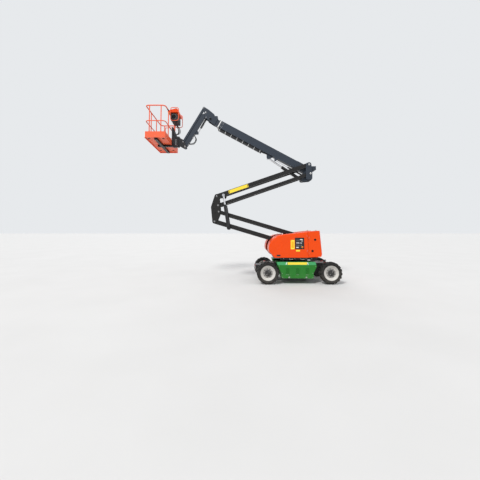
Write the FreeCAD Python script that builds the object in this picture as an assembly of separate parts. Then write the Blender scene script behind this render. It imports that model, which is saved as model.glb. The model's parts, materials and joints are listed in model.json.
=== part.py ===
"""Articulating boom lift, in millimetres.

+X is the steered end with the counterweight, +Y the left side, +Z up. The origin is on the ground
under the slewing axis. The machine stands with its riser raised part of the way, the main boom
raised and the jib hanging, so the basket is at -X.
"""
import FreeCAD, Part
import math
import os

from FreeCAD import Vector

os.makedirs("parts", exist_ok=True)

# Clearances: a pin in its eye, a turning or sliding side, and pieces that pass each other
PIN_GAP = 0.4
SIDE_GAP = 0.5
PASS_GAP = 6

# Wheels
TYRE_R = 352
TYRE_W = 230
RIM_R = 235
SEAT_GAP = 0.5
LUG_COUNT = 18
LUG_H = 24
LUG_SHARE = 0.58
WALL_STEPS = 32
WHEELBASE = 2000
TRACK = 1560
HUB_BACK = 69
HUB_R = 95

# Axles
KINGPIN_Y = 600
KINGPIN_R = 60
MOTOR_R = 92
AXLE_HALF_W = 60
AXLE_HALF_H = 75
AXLE_END_Y = 490
AXLE_WALL = 14
SADDLE_H = 28
YOKE_T = 34
KNUCKLE_HALF_H = 94
TIE_ROD_BACK = 170
TIE_ROD_R = 16

# Chassis
FRAME_W = 640
FRAME_WALL = 16
FRAME_BOTTOM = 250
FRAME_TOP = 610
FRAME_END = 905
BUMPER_END = 1360
BUMPER_INSET = 60
COVER_FACE_Y = 800
COVER_T = 20
COVER_BAND_Z = 600
LOUVRE_X = ((-423, -311), (-100, 0), (206, 312))
LOUVRE_Z = (289, 484)
LOUVRE_SLOTS = 7
LOUVRE_SLOT_H = 13
SLEW_R = 330
SLEW_BORE_R = 240
SLEW_H = 132
SLEW_CLEAR = 12

# Turret
DECK_H = 88
DECK_SKIN = 20
DECK_HALF_W = 720
DECK_SIDE_X = (-560, 600)
DECK_SPINE_X = (-740, 660)
BULKHEAD_Y = 270
BULKHEAD_T = 16
HOOD_INNER_Y = 296
HOOD_OVERHANG = 110
HOOD_T = 22
HOOD_LIFT = 8
HOOD_FOOT_X = -788
HOOD_NOSE = (-957, 1036)
HOOD_BROW = (-872, 1390)
HOOD_SHOULDER = (-560, 1560)
HOOD_EDGE_R = 40
SEAM_TOP = (272, 1656)
SEAM_BOTTOM_X = 296
SEAM_GAP = 8
HINGE_X = 289
HINGE_OUT = 11
HINGE_R = 10
HINGE_LEAF_Z = (1010, 1500)
WINDOW = ((-134, 162), (1105, 1471))
WINDOW_EDGE = 12
WEIGHT_REAR = ((702, 37), (740, 130), (678, 850), (650, 862))
WEIGHT_CORNER_R = 70
NOTCH_Z = 1440

# Riser: the lower pair and the upper pair of arms are two parallelograms, given by their spans
LOWER_SPAN = (-2918, 875)
UPPER_SPAN = (3200, 1109)
PIN_A_TURRET = (158, 1135)
PIN_B_TURRET = (300, 1470)
PIN_D_MID = (-2640, 2563)
PIN_C_MID = (-2687, 2878)
MID_HEEL = (-62, 490)
PIN_R = 28
ARM_Y0, ARM_Y1 = 136, 205
LINK_Y1 = 199
LINK_PLATE_Y0, LINK_PLATE_Y1 = 210, 225
ARM_WALL = 8
ARM_EYE_R = 75
LINK_EYE_R = 58
ARM_A_DEPTH = 150
ARM_B_DEPTH = 115
ARM_C_DEPTH = 140
ARM_D_DEPTH = 112

# Main boom, whose pivot and the feet of its rams are seen from the upper arm's end pin
PIVOT_FROM_C = (-23, -197)
LIFT_FOOT_FROM_C = (-213, -517)
LEVEL_FOOT_FROM_C = (-168, -387)
PIVOT_R = 40
BOOM_ANGLE = 28.5
BOOM_HALF_W = 98
BOOM_DEPTH = 260
BOOM_WALL = 9
BOOM_LENGTH = 3560
BASE_COLLAR = (130, 470)
NOSE_COLLAR = 70
LIFT_EYE_ALONG, LIFT_EYE_UNDER = 1440, 248
LEVEL_EYE_ALONG, LEVEL_EYE_UNDER = 1180, 215
TRAY_START = 1750
TRAY_END_GAP = 80
TRAY_HALF_W = 60
TRAY_DEPTH = 78
TRAY_WALL = 5
FLY_PLAY = 8
FLY_WALL = 8
FLY_HIDDEN = 2350
FLY_OUT = 110
FORK_REACH = 228
NOSE_PIN_R = 30
INNER_PLATE_Y0, INNER_PLATE_Y1 = 112, 130

# Jib, seen from the boom's nose pin
JIB_FROM_NOSE = (-169, 238)
NOSE_SHOULDERS = (((-110, 290), 70), ((50, 110), 105))
JIB_ANGLE = 239.5
JIB_LENGTH = 1430
JIB_HALF_W = 45
JIB_DEPTH = 100
JIB_BACK_DEPTH = 120
JIB_WALL = 7
JIB_PIN_R = 24
JIB_LINK_OFFSET = 190
JIB_LINK_ANGLE = 112
JIB_LINK_R = 18
JIB_LINK_Y0, JIB_LINK_Y1 = 52, 63
JIB_PLATE_Y0, JIB_PLATE_Y1 = 66, 82
JIB_FOOT_REACH, JIB_FOOT_ANGLE = 170, 35
JIB_EYE_ALONG, JIB_EYE_UNDER = 776, 130

# Basket, seen from the jib's end pin
ROTATOR_AHEAD = 260
ROTATOR_R = 74
FLOOR_ABOVE_END = 94
ROTATOR_BELOW, ROTATOR_ABOVE = 60, 240
BASKET_AHEAD = 215
BASKET_LENGTH = 680
BASKET_HALF_Y = 915
TOE_H = 155
MID_RAIL_H = 520
TOP_RAIL_H = 1050
MOUNT_H = 620
RAIL_R = 19
RAIL_CORNER = 110
RAIL_STEPS = 3
POST_STEP = 22
RAIL_STUB = 4
GATE_PLAY = 8
GATE_R = 14
TOE_T = 6
FLOOR_T = 8
FLOOR_BEAM_H = 80
FLOOR_BEAM_W = 90
CONSOLE_HALF_W = 320
CONSOLE_WALL = 6
CONSOLE_LID = ((-90, 0), (270, 0), (270, 90), (215, 145), (-60, 75), (-90, 45))
CONSOLE_CASE = (225, 250)

# Worked out from the sizes above
HUB_Z = TYRE_R
FRONT_X, REAR_X = WHEELBASE / 2, -WHEELBASE / 2
WHEEL_Y = TRACK / 2
AXLE_SEAT_Z = HUB_Z + AXLE_HALF_H + SADDLE_H
SLEW_TOP = FRAME_TOP + SLEW_H
DECK_TOP = SLEW_TOP + DECK_H
HOOD_OUTER_Y = DECK_HALF_W + HOOD_OVERHANG


def add(a, b):
    return (a[0] + b[0], a[1] + b[1])


def polar(origin, angle, along, above=0):
    """The point at a distance along a direction in the XZ plane, and above it to its left."""
    c, s = math.cos(math.radians(angle)), math.sin(math.radians(angle))
    return (origin[0] + along * c - above * s, origin[1] + along * s + above * c)


def direction(a, b):
    return math.degrees(math.atan2(b[1] - a[1], b[0] - a[0]))


PIN_A_MID = add(PIN_A_TURRET, LOWER_SPAN)
PIN_B_MID = add(PIN_B_TURRET, LOWER_SPAN)
PIN_C_TOP = add(PIN_C_MID, UPPER_SPAN)
PIN_D_TOP = add(PIN_D_MID, UPPER_SPAN)
LOWER_ANGLE = direction((0, 0), LOWER_SPAN)
UPPER_ANGLE = direction((0, 0), UPPER_SPAN)
BOOM_PIVOT = add(PIN_C_TOP, PIVOT_FROM_C)
NOSE_REACH = BOOM_LENGTH + FLY_OUT + FORK_REACH
NOSE_PIN = polar(BOOM_PIVOT, 180 - BOOM_ANGLE, NOSE_REACH)
JIB_PIN = add(NOSE_PIN, JIB_FROM_NOSE)
JIB_LINK_PIN = polar(JIB_PIN, JIB_LINK_ANGLE, JIB_LINK_OFFSET)
JIB_END_PIN = polar(JIB_PIN, JIB_ANGLE, JIB_LENGTH)
JIB_LINK_END = polar(JIB_LINK_PIN, JIB_ANGLE, JIB_LENGTH)
ROTATOR_X = JIB_END_PIN[0] - ROTATOR_AHEAD
FLOOR_Z = JIB_END_PIN[1] + FLOOR_ABOVE_END
ROTATOR_Z = (FLOOR_Z - ROTATOR_BELOW, FLOOR_Z + ROTATOR_ABOVE)
BASKET_X1 = ROTATOR_X - BASKET_AHEAD
BASKET_X0 = BASKET_X1 - BASKET_LENGTH
TOE_TOP = FLOOR_Z + TOE_H
MID_RAIL_Z = FLOOR_Z + MID_RAIL_H
TOP_RAIL_Z = FLOOR_Z + TOP_RAIL_H
POST_R = RAIL_R * 0.85
GATE_HINGE_X = BASKET_X0 + RAIL_R + RAIL_CORNER + POST_STEP + POST_R + RAIL_STUB + GATE_PLAY + GATE_R

# The two pins of each ram
RISER_RAM_FOOT = polar(PIN_A_MID, LOWER_ANGLE + 180, 527, -75)
RISER_RAM_EYE = polar(PIN_C_MID, UPPER_ANGLE, 231, -52)
LIFT_RAM_FOOT = add(PIN_C_TOP, LIFT_FOOT_FROM_C)
LIFT_RAM_EYE = polar(BOOM_PIVOT, 180 - BOOM_ANGLE, LIFT_EYE_ALONG, LIFT_EYE_UNDER)
LEVEL_RAM_FOOT = add(PIN_C_TOP, LEVEL_FOOT_FROM_C)
LEVEL_RAM_EYE = polar(BOOM_PIVOT, 180 - BOOM_ANGLE, LEVEL_EYE_ALONG, LEVEL_EYE_UNDER)
JIB_RAM_FOOT = polar(JIB_PIN, JIB_ANGLE + JIB_FOOT_ANGLE, JIB_FOOT_REACH)
JIB_RAM_EYE = polar(JIB_PIN, JIB_ANGLE, JIB_EYE_ALONG, JIB_EYE_UNDER)

# Rams: y, barrel radius, rod radius, barrel length, foot eye radius, rod eye radius, foot pin
# radius, half the eyes' width, and how far the rod still runs in from here
RAM_SIZES = {
    "riser_ram": (290, 54, 30, 800, 56, 46, 26, 32, 176),
    "lift_ram": (0, 50, 30, 850, 52, 44, 26, 33, 180),
    "level_ram": (-79, 24, 11, 640, 25, 24, 15, 12, 122),
    "jib_ram": (0, 30, 18, 420, 32, 28, 14, 21, 15),
}
RAM_BOTTOM = 12
GLAND_EXTRA = 5
GLAND_LENGTH = 36


def block(x0, x1, y0, y1, z0, z1):
    return Part.makeBox(x1 - x0, y1 - y0, z1 - z0, Vector(x0, y0, z0))


def across(point, radius, y0, y1):
    """A round bar along Y at the (x, z) point."""
    return Part.makeCylinder(radius, y1 - y0, Vector(point[0], y0, point[1]), Vector(0, 1, 0))


def upright(x, y, radius, z0, z1):
    return Part.makeCylinder(radius, z1 - z0, Vector(x, y, z0))


def side_face(outline):
    """A flat face in the XZ plane from its (x, z) corners."""
    corners = [Vector(x, 0, z) for x, z in outline]
    return Part.Face(Part.makePolygon(corners + corners[:1]))


def plate(outline, y0, y1):
    """A flat plate with the (x, z) outline, between two Y planes."""
    return side_face(outline).translated(Vector(0, y0, 0)).extrude(Vector(0, y1 - y0, 0))


def hollow(outline, y0, y1, wall):
    """The same, closed on all sides and hollow, with walls of one thickness."""
    room = side_face(outline).makeOffset2D(-wall).translated(Vector(0, y0 + wall, 0))
    return plate(outline, y0, y1).cut(room.extrude(Vector(0, y1 - y0 - 2 * wall, 0)))


def flipped(shape):
    """The same shape on the other side of the XZ plane."""
    return shape.mirror(Vector(0, 0, 0), Vector(0, 1, 0))


def both(shapes):
    """The shapes with their copies on the other side."""
    return shapes + [flipped(s) for s in shapes]


def joined(pieces):
    return pieces[0].multiFuse(pieces[1:]).removeSplitter() if len(pieces) > 1 else pieces[0]


def pair(shape):
    """A left and a right copy as one compound."""
    return Part.makeCompound([shape, flipped(shape)])


def wrapped(bosses, y0, y1):
    """A plate drawn tight round a ring of bosses, each an (x, z) centre and a radius."""
    pieces = [across(centre, radius, y0, y1) for centre, radius in bosses]
    count = len(bosses)
    for i in range(count if count > 2 else 1):
        (a, ra), (b, rb) = bosses[i], bosses[(i + 1) % count]
        angle = direction(a, b)
        lean = math.degrees(math.acos((ra - rb) / math.dist(a, b)))
        outline = [polar(a, angle + lean, ra), polar(b, angle + lean, rb),
                   polar(b, angle - lean, rb), polar(a, angle - lean, ra)]
        pieces.append(plate(outline, y0, y1))
    if count > 2:
        pieces.append(plate([centre for centre, radius in bosses], y0, y1))
    return joined(pieces)


def placed(shape, origin, angle):
    """Takes a shape drawn along +X from the origin to a pin and a direction in the XZ plane."""
    turned = shape.copy()
    turned.rotate(Vector(0, 0, 0), Vector(0, 1, 0), -angle)
    turned.translate(Vector(origin[0], 0, origin[1]))
    return turned


def box_tube(x0, x1, y0, y1, z0, z1, wall):
    """A rectangular tube along X with closed ends."""
    outer = block(x0, x1, y0, y1, z0, z1)
    return outer.cut(block(x0 + wall, x1 - wall, y0 + wall, y1 - wall, z0 + wall, z1 - wall))


NODES = {}


def keep(name, shape):
    NODES[name] = shape


def ring_outline(radius, y):
    """The corners of a many-sided ring about the Y axis, for the plain walls of the tyre."""
    corners = []
    for i in range(WALL_STEPS):
        a = 2 * math.pi * i / WALL_STEPS
        corners.append(Vector(radius * math.cos(a), y, radius * math.sin(a)))
    return corners


def tread_outline(tip_r, y, shift):
    """The corners of the lugs and of the gaps between them, round the tread."""
    corners = []
    pitch = 2 * math.pi / LUG_COUNT
    root_r = TYRE_R - LUG_H
    for i in range(LUG_COUNT):
        start = pitch * (i + shift)
        end = start + pitch * LUG_SHARE
        for a, r in ((start, root_r), (start, tip_r), (end, tip_r), (end, root_r)):
            corners.append(Vector(r * math.cos(a), y, r * math.sin(a)))
    return corners


def skinned(sections):
    """A solid with flat faces between outlines of as many corners each, and flat ends."""
    count = len(sections[0])
    faces = [Part.Face(Part.makePolygon(end + end[:1])) for end in (sections[0], sections[-1])]
    for a, b in zip(sections, sections[1:]):
        for i in range(count):
            j = (i + 1) % count
            faces.append(Part.Face(Part.makePolygon([a[i], a[j], b[j], b[i], a[i]])))
    solid = Part.Solid(Part.Shell(faces))
    if solid.Volume < 0:
        solid.reverse()
    return solid


def tyre_shape():
    """Two rings of lugs, half a pitch apart, with sloped shoulders on a carcass with bulged walls."""
    half = TYRE_W / 2
    root_r = TYRE_R - LUG_H
    bead_r = (RIM_R + SEAT_GAP) / math.cos(math.pi / WALL_STEPS)
    pieces = []
    for side, shift in ((1, 0.0), (-1, 0.5)):
        section = ((bead_r, half - 24), (RIM_R + 55, half), (root_r - 6, half - 12), (root_r - 6, 0))
        pieces.append(skinned([ring_outline(r, side * y) for r, y in section]))
        tread = ((TYRE_R, 0), (TYRE_R, half - 34), (root_r + 9, half - 5))
        pieces.append(skinned([tread_outline(tip_r, side * y, shift) for tip_r, y in tread]))
    return joined(pieces).cut(skinned([ring_outline(bead_r, -half), ring_outline(bead_r, half)]))


def wheel_shape(side):
    """The rim, its deep dish and the hub's cap as one turned piece, whose outer face looks along side."""
    lip = TYRE_W / 2 - 22
    # radius, and place outwards from the tyre's middle plane
    profile = ((0, -HUB_BACK), (HUB_R - 5, -HUB_BACK), (HUB_R - 5, 12), (176, 12), (RIM_R - 22, -lip),
               (RIM_R, -lip), (RIM_R, lip), (RIM_R - 12, lip), (178, 44), (172, 34), (HUB_R + 6, 34),
               (HUB_R, 74), (HUB_R - 22, 82), (0, 82))
    corners = [Vector(r, y * side, 0) for r, y in profile]
    face = Part.Face(Part.makePolygon(corners + corners[:1]))
    return face.revolve(Vector(0, 0, 0), Vector(0, 1, 0), 360)


def make_wheels():
    tyre = tyre_shape()
    for end, x in (("front", FRONT_X), ("rear", REAR_X)):
        for name, side in (("left", 1), ("right", -1)):
            place = Vector(x, side * WHEEL_Y, HUB_Z)
            keep(f"tyre_{end}_{name}", tyre.translated(place))
            keep(f"wheel_{end}_{name}", wheel_shape(side).translated(place))


def make_axles():
    """The fixed drive axle at the rear, and the steered axle with its knuckles at the front."""
    motor_end = WHEEL_Y - HUB_BACK - SIDE_GAP
    beam = box_tube(REAR_X - AXLE_HALF_H, REAR_X + AXLE_HALF_H, -AXLE_END_Y, AXLE_END_Y,
                    HUB_Z - AXLE_HALF_H, HUB_Z + AXLE_HALF_H, AXLE_WALL)
    motor = across((REAR_X, HUB_Z), MOTOR_R, AXLE_END_Y - 20, motor_end)
    saddle = block(REAR_X - AXLE_HALF_W, REAR_X + AXLE_HALF_W, -200, 200, HUB_Z + AXLE_HALF_H, AXLE_SEAT_Z)
    keep("drive_axle", joined([beam, saddle] + both([motor])))

    x0, x1 = FRONT_X - AXLE_HALF_W, FRONT_X + AXLE_HALF_W
    beam = box_tube(x0, x1, -AXLE_END_Y, AXLE_END_Y, HUB_Z - AXLE_HALF_H, HUB_Z + AXLE_HALF_H, AXLE_WALL)
    yoke_in = KNUCKLE_HALF_H + 2
    yoke_out = yoke_in + YOKE_T
    yoke = [block(x0, x1, AXLE_END_Y - 50, AXLE_END_Y, HUB_Z - yoke_out, HUB_Z + yoke_out)]
    for z0, z1 in ((HUB_Z - yoke_out, HUB_Z - yoke_in), (HUB_Z + yoke_in, HUB_Z + yoke_out)):
        yoke.append(block(x0, x1, AXLE_END_Y - 50, KINGPIN_Y, z0, z1))
        yoke.append(upright(FRONT_X, KINGPIN_Y, KINGPIN_R, z0, z1))
    saddle = block(x0, x1, -120, 120, HUB_Z + AXLE_HALF_H, AXLE_SEAT_Z)
    keep("steer_axle", joined([beam, saddle] + both(yoke)))

    rod_x, rod_z = FRONT_X - TIE_ROD_BACK, HUB_Z + 12
    cylinder = across((rod_x, rod_z), 38, -210, 210)
    ears = [block(rod_x + 20, x0, y - 15, y + 15, HUB_Z - 20, HUB_Z + 44) for y in (-150, 150)]
    bore = across((rod_x, rod_z), TIE_ROD_R + SIDE_GAP, -215, 215)
    keep("steering_cylinder", joined([cylinder] + ears).cut(bore))
    ball_y = KINGPIN_Y - 35
    rod = across((rod_x, rod_z), TIE_ROD_R, 10 - ball_y, ball_y - 10)
    ends = [upright(rod_x, y, 24, HUB_Z - 13.5, HUB_Z + 32) for y in (-ball_y, ball_y)]
    keep("tie_rod", joined([rod] + ends))

    core = block(FRONT_X - 55, FRONT_X + 55, KINGPIN_Y - 55, KINGPIN_Y + 40,
                 HUB_Z - KNUCKLE_HALF_H, HUB_Z + KNUCKLE_HALF_H)
    motor = across((FRONT_X, HUB_Z), MOTOR_R - 2, KINGPIN_Y + 20, motor_end)
    arm = block(rod_x - 25, FRONT_X - 40, KINGPIN_Y - 45, KINGPIN_Y + 5, HUB_Z - 40, HUB_Z - 14)
    knuckle = joined([core, motor, arm])
    keep("knuckle_left", knuckle)
    keep("knuckle_right", flipped(knuckle))


def make_chassis():
    half = FRAME_W / 2
    frame = box_tube(-FRAME_END, FRAME_END, -half, half, FRAME_BOTTOM, FRAME_TOP, FRAME_WALL)
    pieces = [frame]
    shelf_end = FRAME_END + 170
    bumper = [(shelf_end - 5, FRAME_BOTTOM + 50), (BUMPER_END - 80, FRAME_BOTTOM + 50),
              (BUMPER_END, FRAME_BOTTOM + 130), (BUMPER_END, FRAME_TOP - 70),
              (shelf_end - 5, FRAME_TOP - 70)]
    for sign in (-1, 1):
        x0, x1 = sorted((sign * shelf_end, sign * (FRAME_END - 1)))
        pieces.append(block(x0, x1, -half, half, AXLE_SEAT_Z, FRAME_TOP))
        pieces.append(plate([(sign * x, z) for x, z in bumper], BUMPER_INSET - half, half - BUMPER_INSET))
    frame = joined(pieces)
    reach = half + 5
    low = HUB_Z - KNUCKLE_HALF_H - 2 - YOKE_T - 10
    room_front = block(FRONT_X - TIE_ROD_BACK - 70, FRONT_X + 90, -reach, reach, low, AXLE_SEAT_Z)
    room_rear = block(REAR_X - 80, REAR_X + 80, -reach, reach, low, AXLE_SEAT_Z)
    keep("chassis_frame", frame.cut(room_front).cut(room_rear))
    ring = upright(0, 0, SLEW_R, FRAME_TOP, SLEW_TOP - SIDE_GAP)
    keep("slew_ring", ring.cut(upright(0, 0, SLEW_BORE_R, FRAME_TOP, SLEW_TOP)))
    make_covers()


def make_covers():
    """Side covers between the wheels: a skin that is open to the frame, with three groups of louvres."""
    outline = [(-724, 700), (-670, 552), (-571, 342), (-561, 188),
               (456, 177), (454, 342), (558, 552), (516, 700)]
    inner_y = FRAME_W / 2
    face = side_face(outline)
    room = face.makeOffset2D(-COVER_T).translated(Vector(0, inner_y - 1, 0))
    shell = plate(outline, inner_y, COVER_FACE_Y)
    shell = shell.cut(room.extrude(Vector(0, COVER_FACE_Y - COVER_T - inner_y + 1, 0)))
    shell = shell.cut(upright(0, 0, SLEW_R + SLEW_CLEAR, COVER_BAND_Z, SLEW_TOP))
    pitch = (LOUVRE_Z[1] - LOUVRE_Z[0]) / (LOUVRE_SLOTS - 1)
    slots = []
    for x0, x1 in LOUVRE_X:
        for i in range(LOUVRE_SLOTS):
            z = LOUVRE_Z[0] + pitch * i
            slots.append(block(x0, x1, COVER_FACE_Y - COVER_T - 5, COVER_FACE_Y + 5, z, z + LOUVRE_SLOT_H))
    shell = shell.cut(Part.makeCompound(slots))
    keep("side_cover_left", shell)
    keep("side_cover_right", flipped(shell))


def make_turret():
    x0, x1 = DECK_SIDE_X
    deck = block(x0, x1, -DECK_HALF_W, DECK_HALF_W, SLEW_TOP + 18, DECK_TOP)
    spine_half = HOOD_INNER_Y + 4
    spine = block(*DECK_SPINE_X, -spine_half, spine_half, SLEW_TOP + 40, DECK_TOP)
    hub = upright(0, 0, SLEW_R + 30, SLEW_TOP, DECK_TOP)
    room = block(x0 + DECK_SKIN, x1 - DECK_SKIN, DECK_SKIN - DECK_HALF_W, DECK_HALF_W - DECK_SKIN,
                 SLEW_TOP + 17, DECK_TOP - DECK_SKIN)
    deck = joined([deck, spine, hub]).cut(room.cut(hub))
    keep("turret_deck", deck.cut(upright(0, 0, SLEW_BORE_R - 60, 0, DECK_TOP - DECK_SKIN - 8)))

    front, rear = DECK_SPINE_X
    horn_r = 90
    low = [(front, DECK_TOP), (rear, DECK_TOP), (rear, PIN_B_TURRET[1]),
           (PIN_A_TURRET[0], PIN_A_TURRET[1] + horn_r), (front, PIN_A_TURRET[1] - 15)]
    horn = wrapped([(PIN_A_TURRET, horn_r), (PIN_B_TURRET, horn_r),
                    ((rear - horn_r, PIN_B_TURRET[1]), horn_r), ((rear - horn_r, PIN_A_TURRET[1]), horn_r)],
                   BULKHEAD_Y, BULKHEAD_Y + BULKHEAD_T)
    wall = joined([plate(low, BULKHEAD_Y, BULKHEAD_Y + BULKHEAD_T), horn])
    cross_x = PIN_B_TURRET[0] + 40
    cross = block(cross_x, cross_x + 32, -BULKHEAD_Y - 1, BULKHEAD_Y + 1,
                  DECK_TOP, PIN_B_TURRET[1] - horn_r)
    keep("turret_frame", joined(both([wall]) + [cross]))
    pin_end = BULKHEAD_Y - SIDE_GAP
    pins = [across(p, PIN_R, -pin_end, pin_end) for p in (PIN_A_TURRET, PIN_B_TURRET)]
    keep("turret_pins", Part.makeCompound(pins))
    make_counterweight()
    batteries = block(-640, 200, HOOD_INNER_Y + 30, HOOD_OUTER_Y - 60, DECK_TOP, DECK_TOP + 300)
    other = flipped(block(-640, 200, HOOD_INNER_Y + 30, HOOD_OUTER_Y - 220, DECK_TOP, DECK_TOP + 250))
    keep("batteries", Part.makeCompound([batteries, other]))


def make_counterweight():
    """A casting across the tail, open in the middle for the riser and hollow behind the hoods."""
    outline = [(SEAM_TOP[0] + SEAM_GAP, SEAM_TOP[1]), (SEAM_BOTTOM_X + SEAM_GAP, DECK_TOP + 13)]
    outline += [(x, DECK_TOP + z) for x, z in WEIGHT_REAR]
    weight = plate(outline, -HOOD_OUTER_Y, HOOD_OUTER_Y)
    corners = [e for e in weight.Edges if e.BoundBox.XMin > 600 and e.BoundBox.YLength < 1
               and e.BoundBox.ZLength > 300]
    weight = weight.makeFillet(WEIGHT_CORNER_R, corners)
    channel = BULKHEAD_Y + BULKHEAD_T
    weight = weight.cut(block(0, 900, -channel, channel, NOTCH_Z, 2000))
    weight = weight.cut(block(0, DECK_SPINE_X[1] + 1, -channel, channel, 0, 2000))
    bay = block(0, 540, channel, HOOD_OUTER_Y - 50, 0, 1600)
    weight = weight.cut(bay).cut(flipped(bay))
    fixed = [block(DECK_SIDE_X[1] - 40, DECK_SIDE_X[1], channel, DECK_HALF_W, DECK_TOP, DECK_TOP + 50)]
    for z in HINGE_LEAF_Z:
        fixed.append(block(HINGE_X, HINGE_X + 60, HOOD_OUTER_Y, HOOD_OUTER_Y + 4, z - 80, z))
        fixed.append(upright(HINGE_X, HOOD_OUTER_Y + HINGE_OUT, HINGE_R, z - 80, z))
    keep("counterweight", joined([weight] + both(fixed)))


def hood_face(inset, y):
    """Side view of a hood: sloped foot, round brow and a top that rises to the seam."""
    def corner(x, z):
        return Vector(x, y, z)

    low = DECK_TOP + HOOD_LIFT
    foot = corner(HOOD_FOOT_X + inset, low)
    nose = corner(HOOD_NOSE[0] + inset, HOOD_NOSE[1])
    brow = corner(HOOD_BROW[0] + inset * 0.7, HOOD_BROW[1] - inset * 0.7)
    shoulder = corner(HOOD_SHOULDER[0], HOOD_SHOULDER[1] - inset)
    seam = corner(SEAM_TOP[0], SEAM_TOP[1] - inset)
    heel = corner(SEAM_BOTTOM_X, low)
    edges = [Part.makeLine(heel, foot), Part.makeLine(foot, nose), Part.Arc(nose, brow, shoulder).toShape(),
             Part.makeLine(shoulder, seam), Part.makeLine(seam, heel)]
    return Part.Face(Part.Wire(edges))


def make_hoods():
    outer = hood_face(0, HOOD_INNER_Y).extrude(Vector(0, HOOD_OUTER_Y - HOOD_INNER_Y, 0))
    edges = [e for e in outer.Edges if e.BoundBox.YMin > HOOD_OUTER_Y - 1
             and e.BoundBox.ZMin > HOOD_NOSE[1] - 5 and e.BoundBox.XMin < SEAM_TOP[0] - 100]
    outer = outer.makeFillet(HOOD_EDGE_R, edges)
    skin_y = HOOD_OUTER_Y - HOOD_T
    hood = outer.cut(hood_face(HOOD_T, HOOD_INNER_Y - 1).extrude(Vector(0, skin_y - HOOD_INNER_Y + 1, 0)))
    # Open towards the counterweight, and underneath
    hood = hood.cut(block(SEAM_TOP[0] - 60, SEAM_BOTTOM_X + 50, 0, skin_y, 0, SEAM_TOP[1] - 56))
    hood = hood.cut(block(HOOD_FOOT_X - 12, SEAM_BOTTOM_X + 50, 0, skin_y, 0, DECK_TOP + HOOD_LIFT + 10))
    for z in HINGE_LEAF_Z:
        leaf = block(HINGE_X - 60, HINGE_X, HOOD_OUTER_Y, HOOD_OUTER_Y + 4, z + SIDE_GAP, z + 70)
        barrel = upright(HINGE_X, HOOD_OUTER_Y + HINGE_OUT, HINGE_R, z + SIDE_GAP, z + 70)
        hood = hood.fuse(leaf).fuse(barrel)
    keep("hood_left", hood)
    (x0, x1), (z0, z1) = WINDOW
    keep("hood_right", flipped(hood).cut(block(x0, x1, -HOOD_OUTER_Y - 5, -skin_y + 40, z0, z1)))
    edge = WINDOW_EDGE
    panel = block(x0 + edge, x1 - edge, 14 - HOOD_OUTER_Y, 190 - HOOD_OUTER_Y, z0 + edge, z1 - edge)
    stand = block(x0 + 74, x1 - 72, 121 - HOOD_OUTER_Y, 190 - HOOD_OUTER_Y, DECK_TOP, z0 + edge)
    keep("ground_controls", joined([panel, stand]))


def arm_side(length, depth, eye_r, outer_y):
    """One tube of an arm, drawn along +X between its two eyes."""
    tube = box_tube(eye_r / 2, length - eye_r / 2, ARM_Y0, outer_y, -depth / 2, depth / 2, ARM_WALL)
    body = joined([tube] + [across((x, 0), eye_r, ARM_Y0, outer_y) for x in (0, length)])
    for x in (0, length):
        body = body.cut(across((x, 0), PIN_R + PIN_GAP, ARM_Y0 - 1, outer_y + 1))
    return body


def make_riser():
    """Two arms and two links, each a pair of box tubes with crossings, and the mid link between."""
    # name, pin, span, depth, eye radius, outer side, places of the crossings, and whether they fill
    # the whole depth (0), its lower half (-1) or its upper half (1)
    table = (
        ("lower_arm", PIN_A_TURRET, LOWER_SPAN, ARM_A_DEPTH, ARM_EYE_R, ARM_Y1, (330, 1500, 2560), 0),
        ("lower_link", PIN_B_TURRET, LOWER_SPAN, ARM_B_DEPTH, LINK_EYE_R, ARM_Y1, (500, 2500), 1),
        ("upper_link", PIN_D_MID, UPPER_SPAN, ARM_D_DEPTH, LINK_EYE_R, LINK_Y1, (350, 1350), -1),
        ("upper_arm", PIN_C_MID, UPPER_SPAN, ARM_C_DEPTH, ARM_EYE_R - 3, ARM_Y1, (), 0),
    )
    for name, pin, span, depth, eye_r, outer_y, crossings, where in table:
        side = arm_side(math.hypot(*span), depth, eye_r, outer_y)
        z0 = 0 if where > 0 else -depth / 2
        z1 = 0 if where < 0 else depth / 2
        crosses = [box_tube(x - 45, x + 45, -ARM_Y0 - 1, ARM_Y0 + 1, z0 + 6, z1 - 6, ARM_WALL)
                   for x in crossings]
        shape = joined(both([side]) + crosses) if crosses else pair(side)
        keep(name, placed(shape, pin, direction((0, 0), span)))
    heel = add(PIN_A_MID, MID_HEEL)
    cheek = wrapped([(PIN_A_MID, ARM_EYE_R), (PIN_B_MID, LINK_EYE_R + 4), (PIN_D_MID, LINK_EYE_R + 4),
                     (PIN_C_MID, ARM_EYE_R), (heel, 62)], LINK_PLATE_Y0, LINK_PLATE_Y1)
    web = plate([add(PIN_A_MID, p) for p in ((-112, 460), (-96, 460), (-54, 110), (-70, 110))],
                -LINK_PLATE_Y0 - 1, LINK_PLATE_Y0 + 1)
    stubs = [across(p, PIN_R, ARM_Y0 - PASS_GAP, LINK_PLATE_Y1 + 1)
             for p in (PIN_A_MID, PIN_B_MID, PIN_C_MID, PIN_D_MID)]
    keep("mid_link", joined(both([cheek] + stubs) + [web]))


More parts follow.
